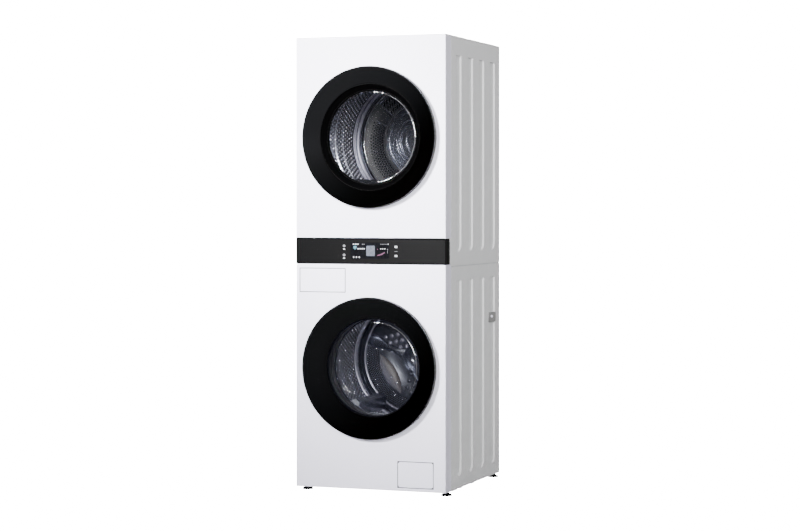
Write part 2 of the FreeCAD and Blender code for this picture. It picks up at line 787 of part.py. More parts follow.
def drawer():
    """Detergent drawer: front, tray and the housing it slides in."""
    front = box("drawer_left", "drawer_right", "front_y", "front_y + 14",
                "drawer_low", "drawer_high")
    notch = box("drawer_left + 30", "drawer_right - 30", "front_y + 6", "front_y + 15",
                "drawer_low - 1", "drawer_low + 9")
    node("drawer_front", less(front, notch))
    x0, x1 = "drawer_left + 9", "drawer_right - 9"
    tray = box(x0, x1, "front_y + 14", "front_y + 300", "drawer_low + 10", "drawer_high - 16")
    hollows = [
        box(x0 + " + 3", "drawer_left + 88", "front_y + 18", "front_y + 296",
            "drawer_low + 13", "drawer_high"),
        box("drawer_left + 91", "drawer_left + 138", "front_y + 18", "front_y + 296",
            "drawer_low + 13", "drawer_high"),
        box("drawer_left + 141", x1 + " - 3", "front_y + 18", "front_y + 296",
            "drawer_low + 13", "drawer_high"),
    ]
    node("drawer_tray", less(tray, *hollows))
    case = box("drawer_left + 1", "drawer_right - 1", "front_y + 15", "front_y + 320",
               "drawer_low + 1", "drawer_high + 6")
    room = box("drawer_left + 5", "drawer_right - 5", "front_y + 13", "front_y + 314",
               "drawer_low + 5", "drawer_high - 4")
    node("dispenser_housing", less(case, room))


def drain():
    """Drain pump with its filter port, the filter knob and the access flap."""
    port = less(rod_y("pump_x", "front_y + 22", "front_y + 110", "pump_z", "38"),
                rod_y("pump_x", "front_y + 20", "front_y + 104", "pump_z", "34"))
    volute = rod_y("pump_x", "front_y + 109", "front_y + 150", "pump_z", "46")
    motor = rod_y("pump_x", "front_y + 149", "front_y + 215", "pump_z + 2", "30")
    spout = rod_z("pump_x - 34", "front_y + 130", "pump_z", "pump_z + 78", "12")
    foot = box("pump_x - 30", "pump_x + 30", "front_y + 114", "front_y + 146",
               "foot_height + 5.2", "pump_z - 20")
    node("drain_pump", joined(port, volute, motor, spout, foot))
    cap = rod_y("pump_x", "front_y + 24", "front_y + 40", "pump_z", "33.5")
    wing = soft_block("pump_x - 24", "pump_x + 24", "front_y + 10", "front_y + 26",
                      "pump_z - 5", "pump_z + 5", "3", Y)
    basket = rod_y("pump_x", "front_y + 38", "front_y + 100", "pump_z", "26")
    inside = rod_y("pump_x", "front_y + 44", "front_y + 101", "pump_z", "23.5")
    node("filter_knob", less(joined(cap, wing, basket), inside))
    flap = soft_block("flap_left", "flap_right", "front_y", "front_y + 4",
                      "flap_low", "flap_high", "10", Y)
    barrel = rod_x("flap_left + 12", "flap_right - 12", "front_y + 2.4", "flap_low + 3", "2")
    node("filter_flap", joined(flap, barrel))


def valves():
    """Water inlet valve with two threaded nozzles, and the drain outlet."""
    parts = [box("inlet_x - 82", "inlet_x + 22", BACK + " - 40", BACK + " - 3",
                 "inlet_z - 20", "inlet_z + 22")]
    bores = []
    for gap in ("0", "60"):
        x = "inlet_x - " + gap
        parts.append(rod_y(x, BACK + " - 10", BACK + " + rear_proud", "inlet_z", "13.2"))
        bores.append(rod_y(x, BACK + " - 30", BACK + " + rear_proud + 1", "inlet_z", "9"))
    node("inlet_valve", less(joined(*parts), *bores))
    pipe = rod_y("drain_x", BACK + " - 60", BACK + " + rear_proud", "drain_z", "14")
    flange = rod_y("drain_x", BACK + " - 8", BACK + " - 2", "drain_z", "24")
    down = rod_z("drain_x", BACK + " - 48", "drain_z - 60", "drain_z", "14")
    bore = rod_y("drain_x", BACK + " - 50", BACK + " + rear_proud + 1", "drain_z", "11.5")
    node("drain_outlet", less(joined(pipe, flange, down), bore))


def feet():
    """Levelling feet, each on its own threaded stem."""
    names = (("left_front", "-foot_x", "foot_front"), ("right_front", "foot_x", "foot_front"),
             ("left_rear", "-foot_x", "foot_rear"), ("right_rear", "foot_x", "foot_rear"))
    for name, x, depth in names:
        y = "front_y + " + depth
        body = spindle("foot_" + name, x, y, [
            ("0", "0"), ("18.5", "0"), ("19.5", "2"), ("19.5", "7"), ("11", "12"),
            ("9", "17"), ("6", "17"), ("6", "54"), ("0", "54")])
        node("foot_" + name, body)


# -------------------------------------------------------------- dryer inside
def dryer_drum():
    """Open drum with two pressed ridges, and its lifters."""
    r = "dry_drum_radius"
    out = [("84", r + " - 6"), ("128", r + " - 6"), ("138", r), ("300", r),
           ("304", r + " + 4"), ("312", r + " + 4"), ("316", r), ("386", r),
           ("390", r + " + 4"), ("398", r + " + 4"), ("402", r), ("576", r),
           ("582", r + " - 6"), ("602", r + " - 6")]
    inside = [(d, "(%s) - 2" % a) for d, a in reversed(out)]
    node("dryer_drum", ring("dry_drum", "dryer_axis", out + inside))
    node("dryer_lifters", group(*fins(3, r + " - 2.3", "46", "64", "22", "front_y + 160",
                                      "front_y + 540", "dryer_axis")))


def roller_at(side):
    reach = "(dry_drum_radius + roller_radius + 0.4)"
    x = "%s * %d * sin(roller_angle)" % (reach, side)
    return x, "dryer_axis - %s * cos(roller_angle)" % reach


def bulkheads():
    """Front and rear walls that carry the dryer drum."""
    zlow, zhigh = "dryer_axis - 300", "dryer_axis + 300"
    plate = box("-316", "316", "front_y + 74", "front_y + 77", zlow, zhigh)
    tunnel = rod_y("0", "front_y + 36", "front_y + 76", "dryer_axis", "241")
    rest = rod_y("0", "front_y + 76", "front_y + 104", "dryer_axis", "268")
    mouth = rod_y("0", "front_y + 30", "front_y + 110", "dryer_axis", "222")
    bell = rod_y("0", "front_y + 35", "front_y + 73", "dryer_axis", "238")
    relief = rod_y("0", "front_y + 80", "front_y + 110", "dryer_axis", "265")
    slot = box("-94", "94", "front_y + 42", "front_y + 66", zlow, "dryer_axis - 200")
    node("front_bulkhead", less(joined(plate, tunnel, rest), mouth, bell, relief, slot))
    back = box("-316", "316", "front_y + 610", "front_y + 613", zlow, zhigh)
    rim = less(rod_y("0", "front_y + 590", "front_y + 611", "dryer_axis", "268"),
               rod_y("0", "front_y + 589", "front_y + 612", "dryer_axis", "265"))
    pins = []
    for side in (-1, 1):
        x, z = roller_at(side)
        pins.append(rod_y(x, "front_y + 545", "front_y + 611", z, "6"))
    node("rear_bulkhead", joined(back, rim, *pins))


def drive():
    """Drum rollers, motor, pulley with its fan, belt and exhaust duct."""
    for side, name in ((-1, "left"), (1, "right")):
        x, z = roller_at(side)
        node("roller_" + name, ring("roller_" + name, z, [
            ("550", "6 + fit_gap"), ("550", "roller_radius"), ("570", "roller_radius"),
            ("570", "6 + fit_gap")], x=x))
    case = rod_y("motor_x", "20", "140", "motor_z", "58")
    foot = box("motor_x - 40", "motor_x + 40", "30", "130", "unit_seam + 0.2",
               "motor_z - 40")
    bore = rod_y("motor_x", "10", "150", "motor_z", "8.4")
    node("dryer_motor", less(joined(case, foot), bore))
    shaft = rod_y("motor_x", "-26", "206", "motor_z", "8")
    wheel = rod_y("motor_x", "-22", "-2", "motor_z", "pulley_radius")
    disc = rod_y("motor_x", "198", "202", "motor_z", "75")
    blades = []
    for i in range(12):
        blade = box("0", "18", "168", "200", "-1.5", "1.5")
        blade.Placement.Rotation = FreeCAD.Rotation(Y, 30 * i)
        blade.setExpression("Placement.Base.x", ex(
            "motor_x + 56 * cos(%d) - 1.5 * sin(%d)" % (30 * i, 30 * i)))
        blade.setExpression("Placement.Base.z", ex(
            "motor_z - 56 * sin(%d) - 1.5 * cos(%d)" % (30 * i, 30 * i)))
        blades.append(blade)
    node("blower_wheel", joined(shaft, wheel, disc, *blades))
    belt()
    scroll = rod_y("motor_x", "160", "214", "motor_z", "88")
    run = box("0", "motor_x", "162", "212", "duct_z + 20", "duct_z + 86")
    elbow = box("-56", "56", "162", "240", "duct_z - 56", "duct_z + 86")
    pipe = rod_y("0", "238", BACK + " + rear_proud", "duct_z", "duct_radius")
    cavity = rod_y("motor_x", "164", "210", "motor_z", "82")
    mouth = rod_y("motor_x", "150", "170", "motor_z", "50")
    inside = rod_y("0", "180", BACK + " + rear_proud + 1", "duct_z", "duct_radius - 1.6")
    node("exhaust_duct", less(joined(scroll, run, elbow, pipe), cavity, mouth, inside))


def loop_face(big, small, run_x, run_z):
    """Face of a belt loop: the outline that wraps two circles."""
    far = math.hypot(run_x, run_z)
    lean = math.acos((big - small) / far)
    heading = math.atan2(run_z, run_x)
    ends = []
    for side in (lean, -lean):
        way = V(math.cos(heading + side), 0, math.sin(heading + side))
        ends.append((way * big, V(run_x, 0, run_z) + way * small))
    opposite = V(-math.cos(heading), 0, -math.sin(heading)) * big
    near = V(run_x, 0, run_z) + V(math.cos(heading), 0, math.sin(heading)) * small
    edges = [
        Part.Arc(ends[0][0], opposite, ends[1][0]).toShape(),
        Part.LineSegment(ends[1][0], ends[1][1]).toShape(),
        Part.Arc(ends[1][1], near, ends[0][1]).toShape(),
        Part.LineSegment(ends[0][1], ends[0][0]).toShape(),
    ]
    return Part.Face(Part.Wire(edges))


def belt():
    """Flat ribbed belt round the drum and the motor pulley."""
    run_x = num("motor_x")
    run_z = num("motor_z - dryer_axis")
    drum = num("dry_drum_radius") + 0.4
    wheel = num("pulley_radius") + 0.4
    face = loop_face(drum + 2, wheel + 2, run_x, run_z)
    face = face.cut(loop_face(drum, wheel, run_x, run_z))
    made = doc.addObject("Part::Feature", "belt")
    made.Shape = face.extrude(V(0, 12, 0)).Solids[0]
    place(made, "0", "-18", "dryer_axis")
    node("drive_belt", made)


def lint_filter():
    """Folding lint screen that stands in the slot under the door."""
    low, high = "dryer_axis - 360", "dryer_axis - 226"
    frame = soft_block("-88", "88", "front_y + 46", "front_y + 62", low, high, "12", Y)
    hollow = box("-80", "80", "front_y + 49", "front_y + 59", low + " + 6", high + " - 14")
    screen = box("-78", "78", "front_y + 53", "front_y + 54", low + " + 4", high + " - 12")
    window = box("-74", "74", "front_y + 40", "front_y + 70", low + " + 12", high + " - 20")
    node("lint_filter", joined(less(frame, hollow, window), screen))


def build():
    washer_front_panel()
    dryer_front_panel()
    side_panels()
    side_plates()
    rear_panels()
    cabinet_screws()
    top_cover()
    base_pan()
    mid_deck()
    control_bar()
    washer_door()
    dryer_door()
    node("hinge_brackets", group(hinge_bracket("washer_axis"), hinge_bracket("dryer_axis")))
    node("door_catches", group(door_catch("washer_axis"), door_catch("dryer_axis")))
    tub()
    washer_drum()
    suspension()
    drawer()
    drain()
    valves()
    feet()
    dryer_drum()
    bulkheads()
    drive()
    lint_filter()
    doc.recompute()


def check_and_write():
    """Stop on any broken object, then write one file for each piece."""
    for thing in doc.Objects:
        if "Invalid" in thing.State or "Error" in thing.State:
            raise RuntimeError("broken object: %s %s" % (thing.Name, thing.State))
    os.makedirs("parts", exist_ok=True)
    for piece in NODES:
        if piece.Shape.isNull() or not piece.Shape.isValid() or piece.Shape.Volume <= 0:
            raise RuntimeError("bad shape: " + piece.Label)
        piece.Shape.exportStep("parts/%s.step" % piece.Label)


build()
check_and_write()
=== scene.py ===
"""Looks of a washer-dryer stack: finishes, drum relief, seal folds, control graphics and studio."""

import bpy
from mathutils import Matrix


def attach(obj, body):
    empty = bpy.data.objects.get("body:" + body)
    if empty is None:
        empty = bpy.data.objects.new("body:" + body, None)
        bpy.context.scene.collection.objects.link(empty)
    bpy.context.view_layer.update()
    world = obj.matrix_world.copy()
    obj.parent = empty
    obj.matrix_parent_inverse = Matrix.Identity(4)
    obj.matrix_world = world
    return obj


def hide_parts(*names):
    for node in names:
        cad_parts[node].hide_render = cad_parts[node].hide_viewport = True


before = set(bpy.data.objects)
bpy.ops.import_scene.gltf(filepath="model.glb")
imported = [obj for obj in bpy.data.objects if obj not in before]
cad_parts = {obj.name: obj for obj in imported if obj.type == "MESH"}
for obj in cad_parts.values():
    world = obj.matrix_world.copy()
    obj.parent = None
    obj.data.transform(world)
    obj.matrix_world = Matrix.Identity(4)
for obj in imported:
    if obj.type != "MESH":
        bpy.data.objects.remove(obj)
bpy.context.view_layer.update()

import logging
import math
from dataclasses import dataclass, replace
from enum import Enum
from typing import Callable, Sequence

import bmesh
import bpy
from mathutils import Matrix, Vector

LOG = logging.getLogger("laundry_stack")

Point = tuple[float, float, float]
Colour = tuple[float, float, float]
Pair = tuple[float, float]
Line = Sequence[Pair]
Socket = bpy.types.NodeSocket

FRONT_Y = -0.358
WASHER_Z = 0.5198
DRYER_Z = 1.4696
COAT_ROUGHNESS = 0.08
FLECK_SCALE = 170.0
FLECK_LEVEL = 0.68


class Body(Enum):
    """Moving bodies of the CAD part that the added pieces ride with."""

    CABINET = "cabinet"
    TUB = "tub"
    WASHER_DRUM = "washer_drum"
    DRYER_DRUM = "dryer_drum"
    WASHER_DOOR = "washer_door"
    DRYER_DOOR = "dryer_door"
    DRAWER = "drawer"
    BLOWER = "blower"
    FOOT_LEFT_FRONT = "foot_left_front"
    FOOT_RIGHT_FRONT = "foot_right_front"
    FOOT_LEFT_REAR = "foot_left_rear"
    FOOT_RIGHT_REAR = "foot_right_rear"
    LINT_FILTER = "lint_filter"


class StudShape(Enum):
    """Form of the small studs that a rule spreads."""

    DISC = "disc"
    PEARL = "pearl"


class Grain(Enum):
    """Direction in which a brushed metal is drawn out."""

    ALONG_DRUM = (40.0, 3.0, 40.0)
    UPRIGHT = (60.0, 60.0, 4.0)
    EVEN = (30.0, 30.0, 30.0)


# ------------------------------------------------------------------ finishes
class Graph:
    """Small helper that adds and links nodes in one node tree."""

    def __init__(self, tree: bpy.types.NodeTree) -> None:
        """Keep the tree that nodes are added to."""
        self.tree = tree

    def feed(self, target: Socket, value: object) -> None:
        """Link a socket to an input, or set the input to a plain value.

        Args:
            target: The input.
            value: A socket or a value.
        """
        if isinstance(value, Socket):
            self.tree.links.new(value, target)
        else:
            target.default_value = value

    def add(self, kind: str, **settings: object) -> bpy.types.Node:
        """Add a node, setting its properties and, by name, its inputs.

        Args:
            kind: Blender's type name of the node.
            **settings: Values or sockets; a key that isn't a property is an
                input's name with underscores for spaces.

        Returns:
            The new node.
        """
        made = self.tree.nodes.new(kind)
        for key, value in settings.items():
            if hasattr(made, key):
                setattr(made, key, value)
            else:
                self.feed(made.inputs[key.replace("_", " ")], value)
        return made

    def chain(self, kind: str, *values: object, out: int | str = 0,
              **settings: object) -> Socket:
        """Add a node and feed its inputs in their order.

        Args:
            kind: Blender's type name of the node.
            *values: Values or sockets for the first inputs.
            out: Number or name of the wanted output.
            **settings: As for add.

        Returns:
            The wanted output.
        """
        made = self.add(kind, **settings)
        for slot, value in enumerate(values):
            self.feed(made.inputs[slot], value)
        return made.outputs[out]

    def math(self, operation: str, first: object, second: object = 0.0) -> Socket:
        """Add a math node on two sockets or numbers and return its result."""
        return self.chain("ShaderNodeMath", first, second, operation=operation)

    def noise(self, place: Socket, **settings: float) -> Socket:
        """Add a noise texture at some coordinates and return its strength."""
        return self.chain("ShaderNodeTexNoise", out="Fac", Vector=place, **settings)

    def ramp(self, amount: Socket, *ends: tuple[float, Colour]) -> Socket:
        """Add a colour ramp.

        Args:
            amount: Where on the ramp to read.
            *ends: Position and colour of each of the two ends.

        Returns:
            The colour.
        """
        made = self.add("ShaderNodeValToRGB", Fac=amount)
        for stop, (position, colour) in zip(made.color_ramp.elements, ends):
            stop.position = position
            stop.color = (*colour, 1.0)
        return made.outputs["Color"]

    def blend(self, amount: Socket, first: Socket, second: Colour) -> Socket:
        """Mix a colour socket with a fixed colour and return the result."""
        made = self.add("ShaderNodeMix", data_type="RGBA", Factor=amount)
        ends = [s for s in made.inputs if s.type == "RGBA"]
        self.feed(ends[0], first)
        self.feed(ends[1], (*second, 1.0))
        return [s for s in made.outputs if s.type == "RGBA"][0]

    def by_camera(self, common: Socket, seen: Socket) -> Socket:
        """Mix two shaders: one for the camera's own rays, one for all others.

        Args:
            common: Shader for all other rays.
            seen: Shader for the camera's rays.

        Returns:
            The mixed shader.
        """
        rays = self.add("ShaderNodeLightPath").outputs["Is Camera Ray"]
        return self.chain("ShaderNodeMixShader", rays, common, seen)


@dataclass(frozen=True)
class Finish:
    """A procedural finish: colour drift, uneven gloss, fine relief and faint wear."""

    name: str
    colour: Colour
    roughness: float = 0.4
    metallic: float = 0.0
    specular: float = 0.5
    coat: float = 0.0
    drift: float = 0.03
    drift_scale: float = 5.0
    grain: Point = (400.0, 400.0, 400.0)
    grain_depth: float = 0.02
    gloss_spread: float = 0.06
    wear: float = 0.02
    wear_colour: Colour = (0.5, 0.5, 0.5)
    fade_to: Colour | None = None
    fade_from: Point = (0.0, 0.0, 0.0)
    fade_way: Point = (1.0, 0.0, 0.0)

    def material(self) -> bpy.types.Material:
        """Return the finish's material, building it the first time."""
        made = bpy.data.materials.get(self.name)
        if made is None:
            made = bpy.data.materials.new(self.name)
            made.use_nodes = True
            self.build(Graph(made.node_tree))
        return made

    def build(self, graph: Graph) -> None:
        """Fill the material's node tree."""
        place = graph.add("ShaderNodeTexCoord").outputs["Object"]
        inputs = graph.tree.nodes["Principled BSDF"].inputs
        for name, value in (("Base Color", self.shade_colour(graph, place)),
                            ("Roughness", self.shade_gloss(graph, place)),
                            ("Normal", self.shade_relief(graph, place)),
                            ("Metallic", self.metallic),
                            ("Specular IOR Level", self.specular),
                            ("Coat Weight", self.coat), ("Coat Roughness", COAT_ROUGHNESS)):
            graph.feed(inputs[name], value)

    def shade_colour(self, graph: Graph, place: Socket) -> Socket:
        """Colour: a slow drift round the base colour, with sparse worn flecks, and where set a
        painted fade of light and shade.

        Args:
            graph: Tree being filled.
            place: Object coordinates.

        Returns:
            The colour.
        """
        low = [max(0.0, c * (1.0 - self.drift)) for c in self.colour]
        high = [min(1.0, c * (1.0 + self.drift)) for c in self.colour]
        cloud = graph.noise(place, Scale=self.drift_scale, Detail=4.0)
        base = graph.ramp(cloud, (0.3, low), (0.7, high))
        if self.fade_to is not None:
            base = self.fade(graph, base, place)
        fleck = graph.noise(place, Scale=FLECK_SCALE, Detail=6.0, Roughness=0.7)
        sparse = graph.math("GREATER_THAN", fleck, FLECK_LEVEL)
        return graph.blend(graph.math("MULTIPLY", sparse, self.wear), base, self.wear_colour)

    def fade(self, graph: Graph, base: Socket, place: Socket) -> Socket:
        """Let the colour fade to a second one along a line across the piece, as painted sheen and
        shade.

        Args:
            graph: Tree being filled.
            base: The first colour.
            place: Object coordinates.

        Returns:
            The faded colour.
        """
        kind = "ShaderNodeVectorMath"
        away = graph.chain(kind, place, self.fade_from, operation="SUBTRACT")
        along = graph.chain(kind, away, self.fade_way, operation="DOT_PRODUCT", out="Value")
        share = graph.chain("ShaderNodeMapRange", out="Result",
                            interpolation_type="SMOOTHSTEP", Value=along)
        return graph.blend(share, base, self.fade_to)

    def shade_gloss(self, graph: Graph, place: Socket) -> Socket:
        """Gloss: roughness that wanders a little across the surface.

        Args:
            graph: Tree being filled.
            place: Object coordinates.

        Returns:
            The roughness.
        """
        return graph.chain("ShaderNodeMapRange", out="Result",
                           Value=graph.noise(place, Scale=11.0, Detail=5.0),
                           To_Min=max(0.02, self.roughness - self.gloss_spread),
                           To_Max=min(1.0, self.roughness + self.gloss_spread))

    def shade_relief(self, graph: Graph, place: Socket) -> Socket:
        """Relief: the finish's fine grain as a bump.

        Args:
            graph: Tree being filled.
            place: Object coordinates.

        Returns:
            The bent normal.
        """
        drawn = graph.chain("ShaderNodeMapping", Vector=place, Scale=self.grain)
        return graph.chain("ShaderNodeBump", Strength=self.grain_depth, Distance=0.001,
                           Height=graph.noise(drawn, Scale=1.0, Detail=3.0))


@dataclass(frozen=True)
class ClearFinish(Finish):
    """Clear glass: mostly see-through, with a faint tint and smears."""

    alpha: float = 0.12

    def build(self, graph: Graph) -> None:
        """Fill the node tree, then let the surface be seen through."""
        super().build(graph)
        graph.tree.nodes["Principled BSDF"].inputs["Alpha"].default_value = self.alpha


@dataclass(frozen=True)
class LitFinish(Finish):
    """A lit area of a display, with a soft flow of two colours."""

    second: Colour = (0.1, 0.2, 0.4)
    glow: float = 1.0

    def build(self, graph: Graph) -> None:
        """Fill the node tree, then add the light."""
        super().build(graph)
        inputs = graph.tree.nodes["Principled BSDF"].inputs
        place = graph.add("ShaderNodeTexCoord").outputs["Object"]
        flow = graph.noise(place, Scale=48.0, Detail=2.0, Distortion=1.5)
        glow = graph.ramp(flow, (0.42, self.colour), (0.58, self.second))
        graph.feed(inputs["Emission Color"], glow)
        inputs["Emission Strength"].default_value = self.glow


def even(count: float) -> Point:
    """Grain that is equally fine in every direction."""
    return (count, count, count)


ENAMEL = Finish("white_enamel", (0.79, 0.775, 0.90), roughness=0.34, coat=0.15, drift=0.008,
    grain=even(260.0), grain_depth=0.015, wear=0.01)
SIDE_ENAMEL = Finish("side_enamel", (0.74, 0.745, 0.755), roughness=0.42, coat=0.08, drift=0.01,
    grain=even(260.0), grain_depth=0.03, wear=0.012)
WHITE_PLASTIC = Finish("white_moulding", (0.79, 0.775, 0.90), roughness=0.36, drift=0.01,
    grain=even(900.0), grain_depth=0.03, wear=0.008)
GALVANISED = Finish("galvanised_sheet", (0.50, 0.52, 0.54), roughness=0.42, metallic=0.85,
    drift=0.14, drift_scale=60.0, grain=even(180.0), grain_depth=0.12, wear=0.15)
# The door rings' smoked glass carries a painted reflection: its colour fades from a faint sheen at
# the upper left to black at the lower right.
SMOKED_GLASS = Finish("smoked_glass", (0.0034, 0.0035, 0.0039), roughness=0.3, specular=0.002,
    drift=0.05, grain=even(700.0), grain_depth=0.004, gloss_spread=0.02, wear=0.0,
    fade_to=(0.00002, 0.00002, 0.00002), fade_way=(1.45, 0.0, -1.45))
DRYER_GLASS = replace(SMOKED_GLASS, name="dryer_smoked_glass", fade_from=(-0.2, 0.0, 1.67))
WASHER_GLASS = replace(SMOKED_GLASS, name="washer_smoked_glass", fade_from=(-0.2, 0.0, 0.72))
BLACK_MOULDING = Finish("black_moulding", (0.0004, 0.0004, 0.0005), roughness=0.4, specular=0.02,
    drift=0.1, grain=even(900.0), grain_depth=0.05, wear=0.0)
DARK_MOULDING = Finish("dark_moulding", (0.035, 0.036, 0.04), roughness=0.55, drift=0.1,
    grain=even(900.0), grain_depth=0.12, wear=0.04)
# The control bar's glass is painted lighter toward its right end: a painted reflection across the
# black glass.
BAR_GLASS = Finish("bar_glass", (0.0043, 0.0043, 0.0045), roughness=0.12, specular=0.02, drift=0.05,
    grain=even(600.0), grain_depth=0.004, gloss_spread=0.02, wear=0.0,
    fade_to=(0.0070, 0.0070, 0.0072), fade_from=(-0.35, 0.0, 1.0), fade_way=(1.45, 0.0, 0.0))
GREY_MOULDING = Finish("grey_moulding", (0.40, 0.41, 0.43), roughness=0.48, drift=0.05,
    grain=even(700.0), grain_depth=0.08, wear=0.03)
TUB_PLASTIC = Finish("tub_moulding", (0.62, 0.63, 0.62), roughness=0.55, drift=0.06,
    grain=even(500.0), grain_depth=0.15, wear=0.03)
SILVER_TRIM = Finish("door_silver", (0.075, 0.075, 0.077), roughness=0.5, metallic=0.2,
    specular=0.1, drift=0.05, grain=even(600.0), grain_depth=0.03, wear=0.0)
DRUM_STEEL = Finish("drum_steel", (0.24, 0.25, 0.29), roughness=0.24, metallic=1.0, drift=0.08,
    grain=Grain.ALONG_DRUM.value, grain_depth=0.12, wear=0.06, wear_colour=(0.7, 0.7, 0.72))
ZINC = Finish("zinc_plate", (0.55, 0.56, 0.58), roughness=0.33, metallic=1.0, drift=0.1,
    drift_scale=40.0, grain=Grain.EVEN.value, grain_depth=0.1, wear=0.1)
SEAL_RUBBER = Finish("seal_rubber", (0.005, 0.0055, 0.008), roughness=0.55, drift=0.08,
    grain=even(500.0), grain_depth=0.1, wear=0.04)
FOOT_RUBBER = Finish("foot_rubber", (0.008, 0.008, 0.009), roughness=0.8, specular=0.03, drift=0.15,
    grain=even(500.0), grain_depth=0.2, wear=0.0)
CONCRETE = Finish("cast_concrete", (0.38, 0.37, 0.35), roughness=0.85, drift=0.14, drift_scale=30.0,
    grain=even(220.0), grain_depth=0.6, wear=0.3, wear_colour=(0.2, 0.2, 0.19))
ALLOY = Finish("cast_alloy", (0.56, 0.57, 0.58), roughness=0.45, metallic=0.9, drift=0.08,
    grain=even(300.0), grain_depth=0.3, wear=0.08)
WINDINGS = Finish("motor_iron", (0.16, 0.13, 0.11), roughness=0.5, metallic=0.7, drift=0.2,
    drift_scale=50.0, grain=(60.0, 900.0, 60.0), grain_depth=0.4, wear=0.1)
PALE_TRAY = Finish("tray_plastic", (0.42, 0.52, 0.64), roughness=0.3, drift=0.04, grain=even(700.0),
    grain_depth=0.04, wear=0.02)
WINDOW = ClearFinish("window_glass", (0.002, 0.0022, 0.003), roughness=0.05, specular=0.08,
    drift=0.1, grain_depth=0.0, gloss_spread=0.02, wear=0.0, alpha=0.16)
BOWL = ClearFinish("bowl_glass", (0.004, 0.0045, 0.008), roughness=0.06, specular=0.08, drift=0.1,
    grain_depth=0.0, gloss_spread=0.02, wear=0.0, alpha=0.20)
RIM_CHROME = Finish("rim_chrome", (0.85, 0.86, 0.9), roughness=0.12, metallic=1.0, drift=0.03,
    grain_depth=0.01, wear=0.0)
# Lit copy of the drum steel: painted highlight on the beads and on one arm's dimples.
LIT_BEAD_STEEL = Finish("lit_bead_steel", (0.34, 0.34, 0.41), roughness=0.25, metallic=0.65, drift=0.05,
    grain=Grain.EVEN.value, grain_depth=0.03, wear=0.02)
# Much lighter copy of the drum steel: painted highlights on the pearls.
LIT_PEARL_STEEL = Finish("lit_pearl_steel", (0.66, 0.67, 0.76), roughness=0.26, metallic=0.8, drift=0.1,
    drift_scale=40.0, grain_depth=0.02, wear=0.0)
GAP_SHADE = Finish("gap_shade", (0.004, 0.004, 0.005), roughness=0.8, specular=0.05, drift=0.1,
    wear=0.0)
PLATE_GREY = Finish("plate_grey", (0.30, 0.30, 0.30), roughness=0.4, metallic=0.3, drift=0.12,
    drift_scale=60.0, grain=Grain.EVEN.value, grain_depth=0.1, wear=0.1)
# Painted shade for holes and slots: near-black discs standing in for the shade inside each opening.
HOLE_SHADE = Finish("hole_shade", (0.0012, 0.0013, 0.0016), roughness=0.7, specular=0.02, drift=0.2,
    wear=0.0)
# Shaded copy of the drum steel: painted shade on the pressed field and on the dimples of the darker
# arms.
SHADED_STEEL = Finish("shaded_steel", (0.07, 0.073, 0.088), roughness=0.36, metallic=0.8, drift=0.1,
    grain=Grain.EVEN.value, grain_depth=0.15, wear=0.05)
# Leaf steel with painted light and shade: a darker copy of the drum steel, lighter toward the lower
# left and fading to painted shade toward the upper right.
SHADED_LEAF_STEEL = Finish("shaded_leaf_steel", (0.20, 0.20, 0.24), roughness=0.5, metallic=0.1, drift=0.04,
    grain=Grain.EVEN.value, grain_depth=0.03, wear=0.02, fade_to=(0.06, 0.052, 0.05),
    fade_from=(-0.145, 0.0, 0.436), fade_way=(17.0, 0.0, 10.0))
# Darkened copy of the steel for the fixed step and vent at the drum's back: painted shade.
SHADED_WELL_STEEL = Finish("shaded_well_steel", (0.016, 0.017, 0.021), roughness=0.5, metallic=0.1, drift=0.06,
    grain=Grain.EVEN.value, grain_depth=0.05, wear=0.03)
PRINT_WHITE = LitFinish("print_white", (0.30, 0.31, 0.32), roughness=0.4, drift=0.02, wear=0.0,
    second=(0.6, 0.62, 0.66), glow=0.5)
PRINT_GREY = LitFinish("print_grey", (0.05, 0.052, 0.058), roughness=0.4, drift=0.02, wear=0.0,
    second=(0.08, 0.08, 0.09), glow=1.0)
SCREEN = LitFinish("screen_dark", (0.0024, 0.0025, 0.0032), roughness=0.15, specular=0.02,
    drift=0.2, wear=0.0, second=(0.008, 0.009, 0.012), glow=0.5)
TILE = LitFinish("picture_tile", (0.03, 0.037, 0.055), roughness=0.3, wear=0.0,
    second=(0.09, 0.105, 0.14), glow=0.35)
CYAN = LitFinish("mark_cyan", (0.014, 0.07, 0.09), roughness=0.3, wear=0.0,
    second=(0.06, 0.2, 0.24), glow=0.6)
ROSE = LitFinish("mark_rose", (0.045, 0.004, 0.026), roughness=0.3, wear=0.0,
    second=(0.03, 0.004, 0.04), glow=0.8)

